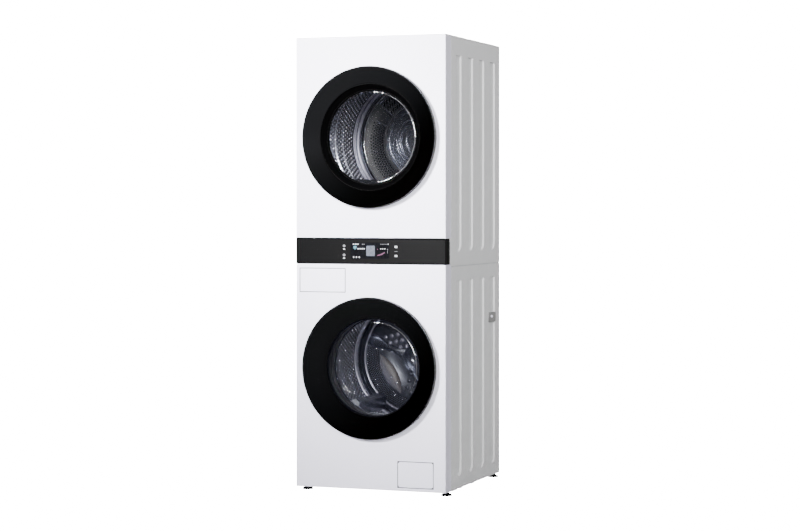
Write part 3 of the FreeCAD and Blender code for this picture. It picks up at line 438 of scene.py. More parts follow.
FINISH_NODES: tuple[tuple[Finish, str], ...] = (
    (DARK_MOULDING, "base_pan drain_pump drain_outlet door_catches damper_cylinders "
        "blower_wheel"),
    (SIDE_ENAMEL, "washer_left_side washer_right_side dryer_left_side dryer_right_side "
        "top_cover"),
    (ENAMEL, "washer_front_panel dryer_front_panel"),
    (GALVANISED, "washer_rear_panel dryer_rear_panel mid_deck exhaust_duct motor_rotor"),
    (BLACK_MOULDING, "control_case display_module"),
    (BAR_GLASS, "control_glass"),
    (PLATE_GREY, "side_plates"),
    (ZINC, "cabinet_screws hinge_brackets tub_springs washer_latch_hook"),
    (WHITE_PLASTIC, "dispenser_housing inlet_valve drawer_front filter_flap"),
    (GREY_MOULDING, "front_bulkhead damper_rods filter_knob lint_filter"),
    (DRUM_STEEL, "rear_bulkhead washer_drum washer_lifters dryer_drum dryer_lifters"),
    (WINDINGS, "dryer_motor motor_stator"),
    (TUB_PLASTIC, "tub_rear tub_front"),
    (CONCRETE, "front_counterweight"),
    (SEAL_RUBBER, "door_gasket"),
    (ALLOY, "drum_spider"),
    (PALE_TRAY, "drawer_tray"),
    (FOOT_RUBBER, "foot_left_front foot_right_front foot_left_rear foot_right_rear "
        "roller_left roller_right drive_belt"),
    (WASHER_GLASS, "washer_door_ring"),
    (SILVER_TRIM, "washer_door_frame dryer_door_frame"),
    (BOWL, "washer_door_bowl"),
    (DRYER_GLASS, "dryer_door_ring"),
    (WINDOW, "dryer_door_window"),
)
NODE_FINISH: dict[str, Finish] = {
    name: finish for finish, names in FINISH_NODES for name in names.split()}


# ------------------------------------------------------------------ shapes
def show(name: str, mesh: bpy.types.Mesh, finish: Finish, body: Body | None,
         smooth: bool = True) -> bpy.types.Object:
    """Put a finished mesh in the scene and fasten it to its body.

    Args:
        name: Name of the piece.
        mesh: Its mesh, placed in the part's frame.
        finish: Its finish.
        body: The body it rides with, or None for a stage piece.
        smooth: Whether faces are shaded smoothly.

    Returns:
        The new object.
    """
    made = bpy.data.objects.new(name, mesh)
    mesh.name = name
    mesh.materials.clear()
    mesh.materials.append(finish.material())
    for face in mesh.polygons:
        face.use_smooth = smooth
        face.material_index = 0
    bpy.context.scene.collection.objects.link(made)
    if body is not None:
        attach(made, body.value)
        LOG.info("piece %s: %d faces, rides %s", name, len(mesh.polygons), body.value)
    return made


def close_up(work: bmesh.types.BMesh, name: str) -> bpy.types.Mesh:
    """Merge doubles, turn all faces outward and return the mesh."""
    bmesh.ops.remove_doubles(work, verts=work.verts, dist=1e-6)
    bmesh.ops.recalc_face_normals(work, faces=work.faces)
    mesh = bpy.data.meshes.new(name)
    work.to_mesh(mesh)
    work.free()
    return mesh


def lathe(name: str, profile: Line, axis_z: float, finish: Finish,
          body: Body, steps: int = 128) -> bpy.types.Object:
    """Show a closed profile turned about a level front-to-back axis.

    Args:
        name: Name of the piece.
        profile: Depth behind the front face and radius, in metres.
        axis_z: Height of the axis.
        finish: Its finish.
        body: The body it rides with.
        steps: Number of sides.

    Returns:
        The closed ring.
    """
    work = bmesh.new()
    rings = []
    for i in range(steps):
        turn = 2 * math.pi * i / steps
        rings.append([
            work.verts.new((r * math.sin(turn), FRONT_Y + d, axis_z + r * math.cos(turn)))
            for d, r in profile
        ])
    count = len(profile)
    for i in range(steps):
        here, after = rings[i], rings[(i + 1) % steps]
        for j in range(count):
            k = (j + 1) % count
            work.faces.new((here[j], here[k], after[k], after[j]))
    return show(name, close_up(work, name), finish, body)


def plate(work: bmesh.types.BMesh, outline: Line, front: float,
          back: float) -> None:
    """Add an upright plate, given by its outline across and up.

    Args:
        work: Mesh being built.
        outline: Corners across and up, in metres.
        front: Depth of its front face in the part's frame.
        back: Depth of its back face.
    """
    near = [work.verts.new((x, front, z)) for x, z in outline]
    far = [work.verts.new((x, back, z)) for x, z in outline]
    work.faces.new(near)
    work.faces.new(list(reversed(far)))
    for i in range(len(outline)):
        j = (i + 1) % len(outline)
        work.faces.new((near[i], far[i], far[j], near[j]))


def plates(name: str, parts: Sequence[tuple[Line, float, float]], finish: Finish,
           body: Body, smooth: bool = False) -> bpy.types.Object:
    """Show upright plates as one piece.

    Args:
        name: Name of the piece.
        parts: Outline, front depth and back depth of each plate.
        finish: Its finish.
        body: The body it rides with.
        smooth: Whether faces are shaded smoothly.

    Returns:
        The piece.
    """
    work = bmesh.new()
    for outline, front, back in parts:
        plate(work, outline, front, back)
    return show(name, close_up(work, name), finish, body, smooth)


def box_outline(x: float, z: float, wide: float, high: float) -> list[Pair]:
    """Corners of an upright rectangle about a middle point."""
    return [(x - wide / 2, z - high / 2), (x + wide / 2, z - high / 2),
            (x + wide / 2, z + high / 2), (x - wide / 2, z + high / 2)]


def round_outline(x: float, z: float, wide: float, high: float, radius: float,
                  steps: int = 6) -> list[Pair]:
    """Corners of an upright rectangle with rounded corners."""
    points = []
    for side_x, side_z, start in ((1, 1, 0.0), (-1, 1, 90.0), (-1, -1, 180.0), (1, -1, 270.0)):
        for i in range(steps + 1):
            turn = math.radians(start + 90.0 * i / steps)
            points.append((
                x + side_x * (wide / 2 - radius) + radius * math.cos(turn),
                z + side_z * (high / 2 - radius) + radius * math.sin(turn)))
    return points


def ring_outline(x: float, z: float, radius: float, steps: int = 20) -> list[Pair]:
    """Corners of an upright circle."""
    return [(x + radius * math.cos(2 * math.pi * i / steps),
             z + radius * math.sin(2 * math.pi * i / steps)) for i in range(steps)]


# ---------------------------------------------------------- geometry node rules
@dataclass
class StudRule:
    """Geometry-node rule that spreads small studs or holes over a drum surface.

    A stud is a short frustum or a flattened ball. Rows are staggered. With flat set, rows are
    circles on an upright wall; otherwise they run down a drum's wall.
    """

    name: str
    finish: Finish
    axis_z: float
    start: float
    length: float
    radius: float
    around: int
    rows: int
    stud: float
    height: float
    flat: bool = False
    arc_start: float = 0.0
    arc: float = 360.0
    taper: float = 0.6
    shape: StudShape = StudShape.DISC

    def inputs(self) -> dict[str, int | float | bpy.types.Material]:
        """Name the rule's inputs, with their values."""
        return {"Around": self.around, "Rows": self.rows, "Radius": self.radius,
                "Start": self.start, "Length": self.length, "Stud": self.stud,
                "Height": self.height, "Taper": self.taper, "Axis height": self.axis_z,
                "Arc start": math.radians(self.arc_start), "Arc": math.radians(self.arc),
                "Finish": self.finish.material()}

    def tree(self) -> bpy.types.NodeTree:
        """Build the rule's node group with named inputs."""
        group = bpy.data.node_groups.new(self.name + "_rule", "GeometryNodeTree")
        face = group.interface
        face.new_socket("Geometry", in_out="OUTPUT", socket_type="NodeSocketGeometry")
        for label, value in self.inputs().items():
            kind = {int: "Int", float: "Float"}.get(type(value), "Material")
            face.new_socket(label, in_out="INPUT", socket_type="NodeSocket" + kind)
        graph = Graph(group)
        given = graph.add("NodeGroupInput").outputs
        index = graph.add("GeometryNodeInputIndex").outputs[0]
        row = graph.math("FLOOR", graph.math("DIVIDE", graph.math("ADD", index, 0.5),
                                             given["Around"]))
        step = graph.math("SUBTRACT", index, graph.math("MULTIPLY", row, given["Around"]))
        lag = graph.math("MULTIPLY", graph.math("MODULO", row, 2.0), 0.5)
        share = graph.math("DIVIDE", graph.math("ADD", step, lag), given["Around"])
        turn = graph.math("ADD", graph.math("MULTIPLY", share, given["Arc"]),
                          given["Arc start"])
        reach = graph.math("MULTIPLY", graph.math("DIVIDE", graph.math("ADD", row, 0.5),
                                                  given["Rows"]), given["Length"])
        combine = "ShaderNodeCombineXYZ"
        if self.flat:
            out, depth = graph.math("ADD", given["Radius"], reach), given["Start"]
            lean = graph.chain(combine, math.pi / 2)
        else:
            out, depth = given["Radius"], graph.math("ADD", given["Start"], reach)
            lean = graph.chain(combine, 0.0, graph.math("ADD", turn, math.pi))
        up = graph.math("MULTIPLY", out, graph.math("COSINE", turn))
        place = graph.chain(combine, graph.math("MULTIPLY", out, graph.math("SINE", turn)),
                            depth, graph.math("ADD", up, given["Axis height"]))
        count = graph.math("MULTIPLY", given["Around"], given["Rows"])
        spread = graph.chain("GeometryNodeInstanceOnPoints", Rotation=lean,
                             Points=graph.chain("GeometryNodePoints", count, place),
                             Instance=self.stud_shape(graph, given))
        real = graph.chain("GeometryNodeRealizeInstances", spread)
        painted = graph.chain("GeometryNodeSetMaterial", Geometry=real,
                              Material=given["Finish"])
        graph.feed(graph.add("NodeGroupOutput").inputs[0], painted)
        return group

    def stud_shape(self, graph: Graph, given: bpy.types.bpy_prop_collection) -> Socket:
        """Add the mesh of one stud.

        Args:
            graph: Tree being filled.
            given: The group's inputs.

        Returns:
            The stud's geometry.
        """
        stud, height = given["Stud"], given["Height"]
        if self.shape is StudShape.DISC:
            return graph.chain("GeometryNodeMeshCone", out="Mesh", fill_type="NGON",
                               Vertices=8, Radius_Bottom=stud, Depth=height,
                               Radius_Top=graph.math("MULTIPLY", stud, given["Taper"]))
        ball = graph.chain("GeometryNodeMeshUVSphere", out="Mesh", Segments=6, Rings=4,
                           Radius=1.0)
        size = graph.chain("ShaderNodeCombineXYZ", stud, stud, height)
        return graph.chain("GeometryNodeTransform", Geometry=ball, Scale=size)

    def build(self, body: Body) -> bpy.types.Object:
        """Run the rule and keep its result as a plain mesh.

        Args:
            body: The body the studs ride with.

        Returns:
            The studs, as one object.
        """
        group = self.tree()
        carrier = bpy.data.objects.new(self.name + "_carrier", bpy.data.meshes.new("empty"))
        bpy.context.scene.collection.objects.link(carrier)
        modifier = carrier.modifiers.new("rule", "NODES")
        modifier.node_group = group
        values = self.inputs()
        for item in group.interface.items_tree:
            if item.in_out == "INPUT":
                modifier[item.identifier] = values[item.name]
        view = bpy.context.evaluated_depsgraph_get()
        mesh = bpy.data.meshes.new_from_object(carrier.evaluated_get(view))
        carrier.modifiers.remove(modifier)
        bpy.data.objects.remove(carrier)
        return show(self.name, mesh, self.finish, body)


# ------------------------------------------------------------- sub-assemblies
@dataclass
class Cabinet:
    """Painted shell, feet, rear fittings and everything the CAD already shapes."""

    rim: float = 0.2904
    gap: float = 0.0012
    shade: float = 0.0018
    pad_radii: Pair = (0.0228, 0.0212)
    pad_height: float = 0.0072

    def build(self) -> None:
        """Dress the CAD nodes and add the small details."""
        self.dress()
        self.details()
        self.pads()

    def gap_shade_strips(self, name: str, low: Pair,
                 high: Pair) -> None:
        """Painted shade in and beside the gap round an opening of the washer front: dark strips
        sunk in the gap and laid on the panel next to it.

        Args:
            name: Name of the piece.
            low: Lower left corner of what fills the opening, across and up.
            high: Its upper right corner.
        """
        x, z = (low[0] + high[0]) / 2, (low[1] + high[1]) / 2
        wide, tall = high[0] - low[0], high[1] - low[1]
        half, over = self.gap / 2, 2 * (self.gap + self.shade)
        parts = []
        for side in (-1.0, 1.0):
            out_x = (wide / 2 + self.gap + self.shade / 2) * side
            out_z = (tall / 2 + self.gap + self.shade / 2) * side
            sunk = ((x + side * (wide / 2 + half), z, self.gap * 0.8, tall + self.gap * 2),
                    (x, z + side * (tall / 2 + half), wide, self.gap * 0.8))
            laid = ((x + out_x, z, self.shade, tall + over),
                    (x, z + out_z, wide + over, self.shade))
            parts += [(box_outline(*place), FRONT_Y + 0.0006, FRONT_Y + 0.0014)
                      for place in sunk]
            parts += [(box_outline(*place), FRONT_Y - 0.0002, FRONT_Y + 0.0004)
                      for place in laid]
        plates(name, parts, GAP_SHADE, Body.CABINET)

    def details(self) -> None:
        """Painted shade strips in the gaps of the front, and the bosses of the side plates."""
        self.gap_shade_strips("drawer_gap", (-0.310, 0.832), (-0.111, 0.927))
        self.gap_shade_strips("flap_gap", (0.123, 0.0365), (0.274, 0.140))
        # Painted shade in the gaps above and below the control bar; the upper strip also widens the
        # bar's dark border.
        plates("bar_gaps", [
            (box_outline(0.0, z, 0.6560, high), FRONT_Y - 0.0002, FRONT_Y + 0.0010)
            for z, high in ((1.0536, 0.0030), (0.9480, 0.0022))], GAP_SHADE, Body.CABINET)
        for side, hand in ((-1.0, "left"), (1.0, "right")):
            balls("plate_boss_" + hand, [(side * 0.3312, 0.249, 0.7085)], 0.0065,
                  WHITE_PLASTIC, Body.CABINET)

    def pads(self) -> None:
        """Broad rubber pad under each levelling foot."""
        for body in (Body.FOOT_LEFT_FRONT, Body.FOOT_RIGHT_FRONT, Body.FOOT_LEFT_REAR,
                     Body.FOOT_RIGHT_REAR):
            x = -0.307 if "left" in body.value else 0.307
            y = -0.283 if "front" in body.value else 0.348
            work = bmesh.new()
            bmesh.ops.create_cone(work, cap_ends=True, segments=64, radius1=self.pad_radii[0],
                                  radius2=self.pad_radii[1], depth=self.pad_height,
                                  matrix=Matrix.Translation((x, y, 0.0041)))
            name = body.value + "_pad"
            show(name, close_up(work, name), FOOT_RUBBER, body)

    def dress(self) -> None:
        """Give every CAD node its finish."""
        for name, finish in NODE_FINISH.items():
            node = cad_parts[name]
            node.data.materials.clear()
            node.data.materials.append(finish.material())
            for face in node.data.polygons:
                face.material_index = 0
            LOG.info("node %s wears %s", name, finish.name)
        for prefix, axis_z in (("washer", WASHER_Z), ("dryer", DRYER_Z)):
            self.blacken(prefix + "_door_frame", axis_z)

    def blacken(self, name: str, axis_z: float) -> None:
        """Make a door frame black except for its grey rim.

        Args:
            name: The frame's node.
            axis_z: Height of the door's axis.
        """
        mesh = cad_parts[name].data
        mesh.materials.append(BLACK_MOULDING.material())
        for face in mesh.polygons:
            reach = math.hypot(face.center.x, face.center.z - axis_z)
            face.material_index = 0 if reach > self.rim else 1


@dataclass
class ControlBar:
    """Touch marks and display graphics on the control bar's glass."""

    front: float = FRONT_Y + 0.0005
    screen_x: float = -0.0005
    screen_z: float = 1.002
    screen_wide: float = 0.169
    screen_high: float = 0.066
    key_left: float = -0.1145
    key_right: float = 0.114
    left_rows: Pair = (1.0165, 0.979)
    right_rows: Pair = (1.019, 0.982)
    skin: float = 0.0002
    bright_rows: tuple[tuple[float, ...], ...] = (
        (-0.072, 0.0270, 0.0095, 3, 0.0058, 0.0042), (-0.072, -0.0262, 0.0125, 3, 0.0042, 0.0062),
        (-0.052, 0.0085, 0.0088, 4, 0.0058, 0.0042), (0.047, 0.0085, 0.0088, 3, 0.0052, 0.0030),
        (0.0800, 0.0275, 0.0, 1, 0.0034, 0.0034))
    faint_rows: tuple[tuple[float, ...], ...] = (
        (0.048, 0.0275, 0.0065, 5, 0.004, 0.0022), (-0.033, 0.0270, 0.0070, 2, 0.004, 0.0034),
        (0.0770, 0.0060, 0.0, 1, 0.0030, 0.0050), (0.0770, -0.0045, 0.0, 1, 0.0016, 0.0110))

    def layer(self, name: str, finish: Finish, level: int,
              outlines: Sequence[Line]) -> None:
        """Build one printed or lit layer on the glass.

        Args:
            name: Name of the piece.
            finish: Its finish.
            level: Order of the layer; a higher one lies further forward.
            outlines: Outlines of its marks, across and up.
        """
        back = self.front - level * self.skin * 0.5
        plates(name, [(outline, back - self.skin, back) for outline in outlines], finish,
               Body.CABINET)

    def keys(self) -> None:
        """Touch marks: a round glyph over a small one, left; squares, right."""
        white, grey = [], []
        for z in self.left_rows:
            grey.append(ring_outline(self.key_left, z + 0.0050, 0.0058))
            white.append(round_outline(self.key_left, z - 0.0080, 0.0085, 0.0055, 0.002))
        for z in self.right_rows:
            white.append(box_outline(self.key_right - 0.0032, z, 0.0042, 0.0085))
            white.append(box_outline(self.key_right + 0.0032, z, 0.0042, 0.0085))
        grey.append(box_outline(self.key_right, sum(self.right_rows) / 2, 0.014, 0.0014))
        self.layer("touch_marks", PRINT_WHITE, 0, white)
        self.layer("touch_rings", PRINT_GREY, 0, grey)

    def rows(self, table: Sequence[Sequence[float]]) -> list[list[Pair]]:
        """Outlines of rows of equal boxes on the screen.

        Args:
            table: For each row: first box across, height over the screen's
                middle, pitch, count, width and height of a box.

        Returns:
            The outlines.
        """
        return [box_outline(x + i * pitch, self.screen_z + up, wide, high)
                for x, up, pitch, count, wide, high in table for i in range(int(count))]

    def display(self) -> None:
        """Display: dark screen, picture tile and generic marks round it."""
        x, z = self.screen_x, self.screen_z
        self.layer("screen", SCREEN, 0, [
            round_outline(x, z, self.screen_wide, self.screen_high, 0.002)])
        self.layer("screen_tile", TILE, 1, [round_outline(0.0025, z, 0.038, 0.043, 0.005)])
        self.layer("screen_marks", PRINT_WHITE, 2, self.rows(self.bright_rows))
        self.layer("screen_faint", PRINT_GREY, 2, self.rows(self.faint_rows))
        gem = [(-0.0735, z + 0.018), (-0.066, z + 0.0215), (-0.0585, z + 0.018),
               (-0.0585, z + 0.011), (-0.066, z + 0.004), (-0.0735, z + 0.011)]
        self.layer("screen_gem", CYAN, 2, [gem])
        streaks = [[(0.032, z - 0.021), (0.052, z - 0.017), (0.066, z - 0.008),
                    (0.064, z - 0.004), (0.048, z - 0.012), (0.032, z - 0.0165)],
                   box_outline(0.0335, z + 0.0065, 0.0035, 0.0035)]
        self.layer("screen_streak", ROSE, 2, streaks)

    def build(self) -> None:
        """Build the whole control bar's graphics."""
        self.keys()
        self.display()


@dataclass
class DoorSeal:
    """Washer door seal with soft folds, in place of the plain CAD ring."""

    axis_z: float = WASHER_Z
    lip: float = 0.200
    skin: float = 0.0035

    def build(self) -> None:
        """Turn the folded seal and let it stand for the CAD one."""
        line = [(0.051, 0.284), (0.051, 0.232), (0.054, 0.228), (0.058, 0.222),
                (0.056, 0.214), (0.052, 0.209), (0.0515, 0.204), (0.054, self.lip + 0.002),
                (0.060, self.lip + 0.002), (0.066, 0.2045), (0.070, 0.210), (0.074, 0.2135),
                (0.099, 0.2135)]
        skirt = [(0.064, 0.2030), (0.113, 0.2030), (0.113, 0.2042), (0.064, 0.2042)]
        lathe("seal_skirt", skirt, self.axis_z, SEAL_RUBBER, Body.TUB)
        outer, inner = [], []
        for i, (d, r) in enumerate(line):
            before, after = line[max(0, i - 1)], line[min(len(line) - 1, i + 1)]
            way = Vector((after[0] - before[0], after[1] - before[1])).normalized()
            side = Vector((way.y, -way.x)) * self.skin / 2
            outer.append((d + side.x, r + side.y))
            inner.append((d - side.x, r - side.y))
        made = lathe("seal_folds", outer + inner[::-1], self.axis_z, SEAL_RUBBER, Body.TUB)
        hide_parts("door_gasket")


def spot(angle: float, reach: float, axis_z: float) -> Pair:
    """Point across and up at an angle from the right, ccw, and a distance from an axis."""
    turn = math.radians(angle)
    return reach * math.cos(turn), axis_z + reach * math.sin(turn)


def sector(a0: float, a1: float, r0: float, r1: float, axis_z: float,
           steps: int = 16) -> list[Pair]:
    """Outline of a ring sector between two angles and two radii."""
    outer = [spot(a0 + (a1 - a0) * i / steps, r1, axis_z) for i in range(steps + 1)]
    inner = [spot(a1 + (a0 - a1) * i / steps, r0, axis_z) for i in range(steps + 1)]
    return outer + inner


def pillow(name: str, left: Line,
           right: Line, base_y: float, swell: float,
           steps: int = 10) -> bpy.types.Mesh:
    """Domed plate between two edge lines, swelling toward the front.

    Args:
        name: Name of the mesh.
        left: First edge, points across and up.
        right: Second edge, as many points.
        base_y: Depth of its edges in the part's frame.
        swell: Height of its middle.
        steps: Faces from edge to edge.

    Returns:
        The plate.
    """
    work = bmesh.new()
    last = len(left) - 1
    grid = []
    for i, (a, b) in enumerate(zip(left, right)):
        rise = swell * max(0.0, 1.0 - (2.0 * i / last - 1.0) ** 4)
        grid.append([
            work.verts.new((a[0] + (b[0] - a[0]) * j / steps,
                            base_y - rise * math.sin(math.pi * j / steps) ** 0.75,
                            a[1] + (b[1] - a[1]) * j / steps))
            for j in range(steps + 1)])
    for i in range(last):
        for j in range(steps):
            work.faces.new((grid[i][j], grid[i + 1][j], grid[i + 1][j + 1], grid[i][j + 1]))
    return close_up(work, name)


def arc_bead(name: str, depth: float, reach: float, a0: float, a1: float, thick: float,
             axis_z: float, peak: float = 0.5, steps: int = 64) -> bpy.types.Mesh:
    """Round bead along an arc that thins out to both ends.

    Args:
        name: Name of the mesh.
        depth: Depth behind the front face.
        reach: Radius of the arc.
        a0: Angle of its start, in degrees from the right.
        a1: Angle of its end.
        thick: Largest radius of the bead.
        axis_z: Height of the arc's middle.
        peak: Share of the way at which it is thickest.
        steps: Number of lengths.

    Returns:
        The bead.
    """
    work = bmesh.new()
    sides = 8
    hoops = []
    for i in range(steps + 1):
        t = i / steps
        part = t / peak if t < peak else (1.0 - t) / (1.0 - peak)
        size = thick * max(0.06, math.sin(math.pi * part / 2) ** 0.8)
        turn = math.radians(a0 + (a1 - a0) * t)
        hoop = []
        for j in range(sides):
            lean = 2 * math.pi * j / sides
            out = reach + size * math.cos(lean)
            hoop.append(work.verts.new((out * math.cos(turn),
                                        FRONT_Y + depth + size * math.sin(lean),
                                        axis_z + out * math.sin(turn))))
        hoops.append(hoop)
    for i in range(steps):
        for j in range(sides):
            k = (j + 1) % sides
            work.faces.new((hoops[i][j], hoops[i][k], hoops[i + 1][k], hoops[i + 1][j]))
    work.faces.new(hoops[0])
    work.faces.new(list(reversed(hoops[-1])))
    return close_up(work, name)


def balls(name: str, places: Sequence[Point], size: float, finish: Finish,
          body: Body) -> bpy.types.Object:
    """Show small balls at given places as one piece.

    Args:
        name: Name of the piece.
        places: Middles of the balls.
        size: Their radius.
        finish: Its finish.
        body: The body it rides with.

    Returns:
        The piece.
    """
    work = bmesh.new()
    for place in places:
        bmesh.ops.create_uvsphere(work, u_segments=14, v_segments=8, radius=size,
                                  matrix=Matrix.Translation(place))
    return show(name, close_up(work, name), finish, body)


@dataclass
class WasherDrum:
    """Relief of the wash drum: holes, pearls, beads, and the pressed back."""

    axis_z: float = WASHER_Z
    wall: float = 0.263
    back: float = 0.574
    leaf_reach: float = 0.172
    leaf_half: float = 35.0
    leaf_bulge: float = 0.033
    tip_half: float = 0.0012
    leaf_middles: tuple[float, ...] = (210.0, 330.0, 90.0)
    arm_middles: tuple[float, ...] = (160.0, 280.0, 40.0)
    arm_shape: tuple[Pair, ...] = (
        (0.050, 0.034), (0.080, 0.021), (0.108, 0.014), (0.145, 0.019), (0.180, 0.026),
        (0.206, 0.029), (0.228, 0.024), (0.242, 0.006))

    def studs(self) -> None:
        """Holes as dark discs of painted shade, and pearls in a lighter copy of the steel as
        painted highlights, over the wall and the back.
        """
        StudRule("wash_holes", HOLE_SHADE, self.axis_z, FRONT_Y + 0.135, 0.355, self.wall - 0.0003,
                 110, 24, 0.0030, 0.0004, taper=0.95).build(Body.WASHER_DRUM)
        StudRule("wash_pearls", LIT_PEARL_STEEL, self.axis_z, FRONT_Y + 0.142, 0.345,
                 self.wall - 0.0002, 104, 19, 0.0038, 0.0028,
                 shape=StudShape.PEARL).build(Body.WASHER_DRUM)
        near = FRONT_Y + self.back - 0.0022
        for i, start in enumerate((195.0, 75.0, 315.0)):
            StudRule(f"wash_back_holes_{i}", HOLE_SHADE, self.axis_z, near, 0.055, 0.177, 36, 7,
                     0.0027, 0.0005, flat=True, arc_start=start, arc=92.0,
                     taper=0.95).build(Body.WASHER_DRUM)
            StudRule(f"wash_back_pearls_{i}", LIT_PEARL_STEEL, self.axis_z, near + 0.0001, 0.055,
                     0.1805, 36, 7, 0.0015, 0.0012, flat=True, arc_start=start + 1.2,
                     arc=92.0, shape=StudShape.PEARL).build(Body.WASHER_DRUM)

    def pressed_back(self) -> None:
        """Pressed field in a shaded copy of the drum steel as painted shade, two beads in a lit
        copy as painted highlights, and a raised hub.
        """
        d = self.back
        field_line = [(d - 0.0018, 0.262), (d - 0.0018, 0.06), (d - 0.0003, 0.06),
                      (d - 0.0003, 0.262)]
        wall_bead = [(0.494, 0.2628), (0.504, 0.2578), (0.518, 0.2560), (0.532, 0.2578),
                     (0.541, 0.2628)]
        back_bead = [(d - 0.0015, 0.2345), (d - 0.0075, 0.2375), (d - 0.009, 0.241),
                     (d - 0.0075, 0.2445), (d - 0.0015, 0.2475)]
        hub = [(d, 0.004), (d, 0.066), (d - 0.007, 0.060), (d - 0.009, 0.040),
               (d - 0.013, 0.034), (d - 0.013, 0.004)]
        for name, line, finish in (("wash_field", field_line, SHADED_STEEL),
                                   ("wash_wall_bead", wall_bead, LIT_BEAD_STEEL),
                                   ("wash_back_bead", back_bead, LIT_BEAD_STEEL),
                                   ("wash_hub", hub, DRUM_STEEL)):
            lathe(name, line, self.axis_z, finish, Body.WASHER_DRUM)

    def leaf(self, index: int, middle: float) -> None:
        """One smooth leaf-shaped plate with painted light and shade, and two chrome bosses as
        painted highlights.

        Args:
            index: Number of the leaf.
            middle: Direction of its middle, in degrees.
        """
        count = 28
        chord = self.leaf_reach * math.cos(math.radians(self.leaf_half))
        way = math.radians(middle)
        outer, inner = [], []
        for i in range(count + 1):
            u = -1.0 + 2.0 * i / count
            across = self.leaf_reach * math.sin(math.radians(self.leaf_half * u))
            far = self.leaf_reach * math.cos(math.radians(self.leaf_half * u))
            near = chord - self.leaf_bulge * (1.0 - u * u)
            for line, out in ((outer, far), (inner, near)):
                line.append((out * math.cos(way) - across * math.sin(way),
                             self.axis_z + out * math.sin(way) + across * math.cos(way)))
        name = f"wash_leaf_{index}"
        base = FRONT_Y + self.back - 0.002
        show(name, pillow(name, outer, inner, base, 0.017, 14), SHADED_LEAF_STEEL, Body.WASHER_DRUM)
        # The bosses wear chrome as painted highlights: bright dots on the leaf.
        bosses = [spot(middle + lean, 0.137, self.axis_z) for lean in (7.0, 21.0)]
        balls(f"wash_boss_{index}", [(x, base - 0.0165, z) for x, z in bosses], 0.0062,
              RIM_CHROME, Body.WASHER_DRUM)

    def arm(self, index: int, middle: float) -> None:
        """One pressed arm from the hub to the rim, with a chrome strip along its tip edge as a
        painted highlight.

        Args:
            index: Number of the arm.
            middle: Direction of the arm, in degrees.
        """
        way = Vector(spot(middle, 1.0, 0.0))
        side = Vector((-way.y, way.x))
        left, right = [], []
        for out, half in self.arm_shape:
            for line, hand in ((left, 1.0), (right, -1.0)):
                point = way * out + side * half * hand
                line.append((point.x, self.axis_z + point.y))
        name = f"wash_arm_{index}"
        base = FRONT_Y + self.back - 0.002
        show(name, pillow(name, left, right, base, 0.010), DRUM_STEEL, Body.WASHER_DRUM)
        turn = Matrix.Rotation(math.radians(middle - self.arm_middles[0]), 2)
        dimples = []
        for i in range(3):
            for j in range(3):
                point = turn @ Vector((-0.145 + 0.028 * i + 0.021 * j,
                                       0.090 + 0.0065 * i - 0.0244 * j))
                dimples.append((point.x, base + 0.004, self.axis_z + point.y))
        # Dimples of arm 0 wear the lit steel copy as painted highlights; those of the other arms
        # wear the shaded copy as painted shade.
        balls(f"wash_dimples_{index}", dimples, 0.0105,
              LIT_BEAD_STEEL if index == 0 else SHADED_STEEL, Body.WASHER_DRUM)
        # The tip strip is chrome on steel: a painted highlight along the arm's edge.
        edge, depth, parts = left[:1:-1], base - 0.004, []
        for (x0, z0), (x1, z1) in zip(edge, edge[1:]):
            over = Vector((x1 - x0, z1 - z0)).normalized() * self.tip_half
            parts.append(([(x0 + over.y, z0 - over.x), (x1 + over.y, z1 - over.x),
                           (x1 - over.y, z1 + over.x), (x0 - over.y, z0 + over.x)],
                          depth - 0.001, depth + 0.001))
        plates(f"wash_tip_{index}", parts, RIM_CHROME, Body.WASHER_DRUM, smooth=True)

    def build(self) -> None:
        """Build all relief of the wash drum."""
        self.studs()
        self.pressed_back()
        for i, middle in enumerate(self.leaf_middles):
            self.leaf(i, middle)
        for i, middle in enumerate(self.arm_middles):
            self.arm(i, middle)


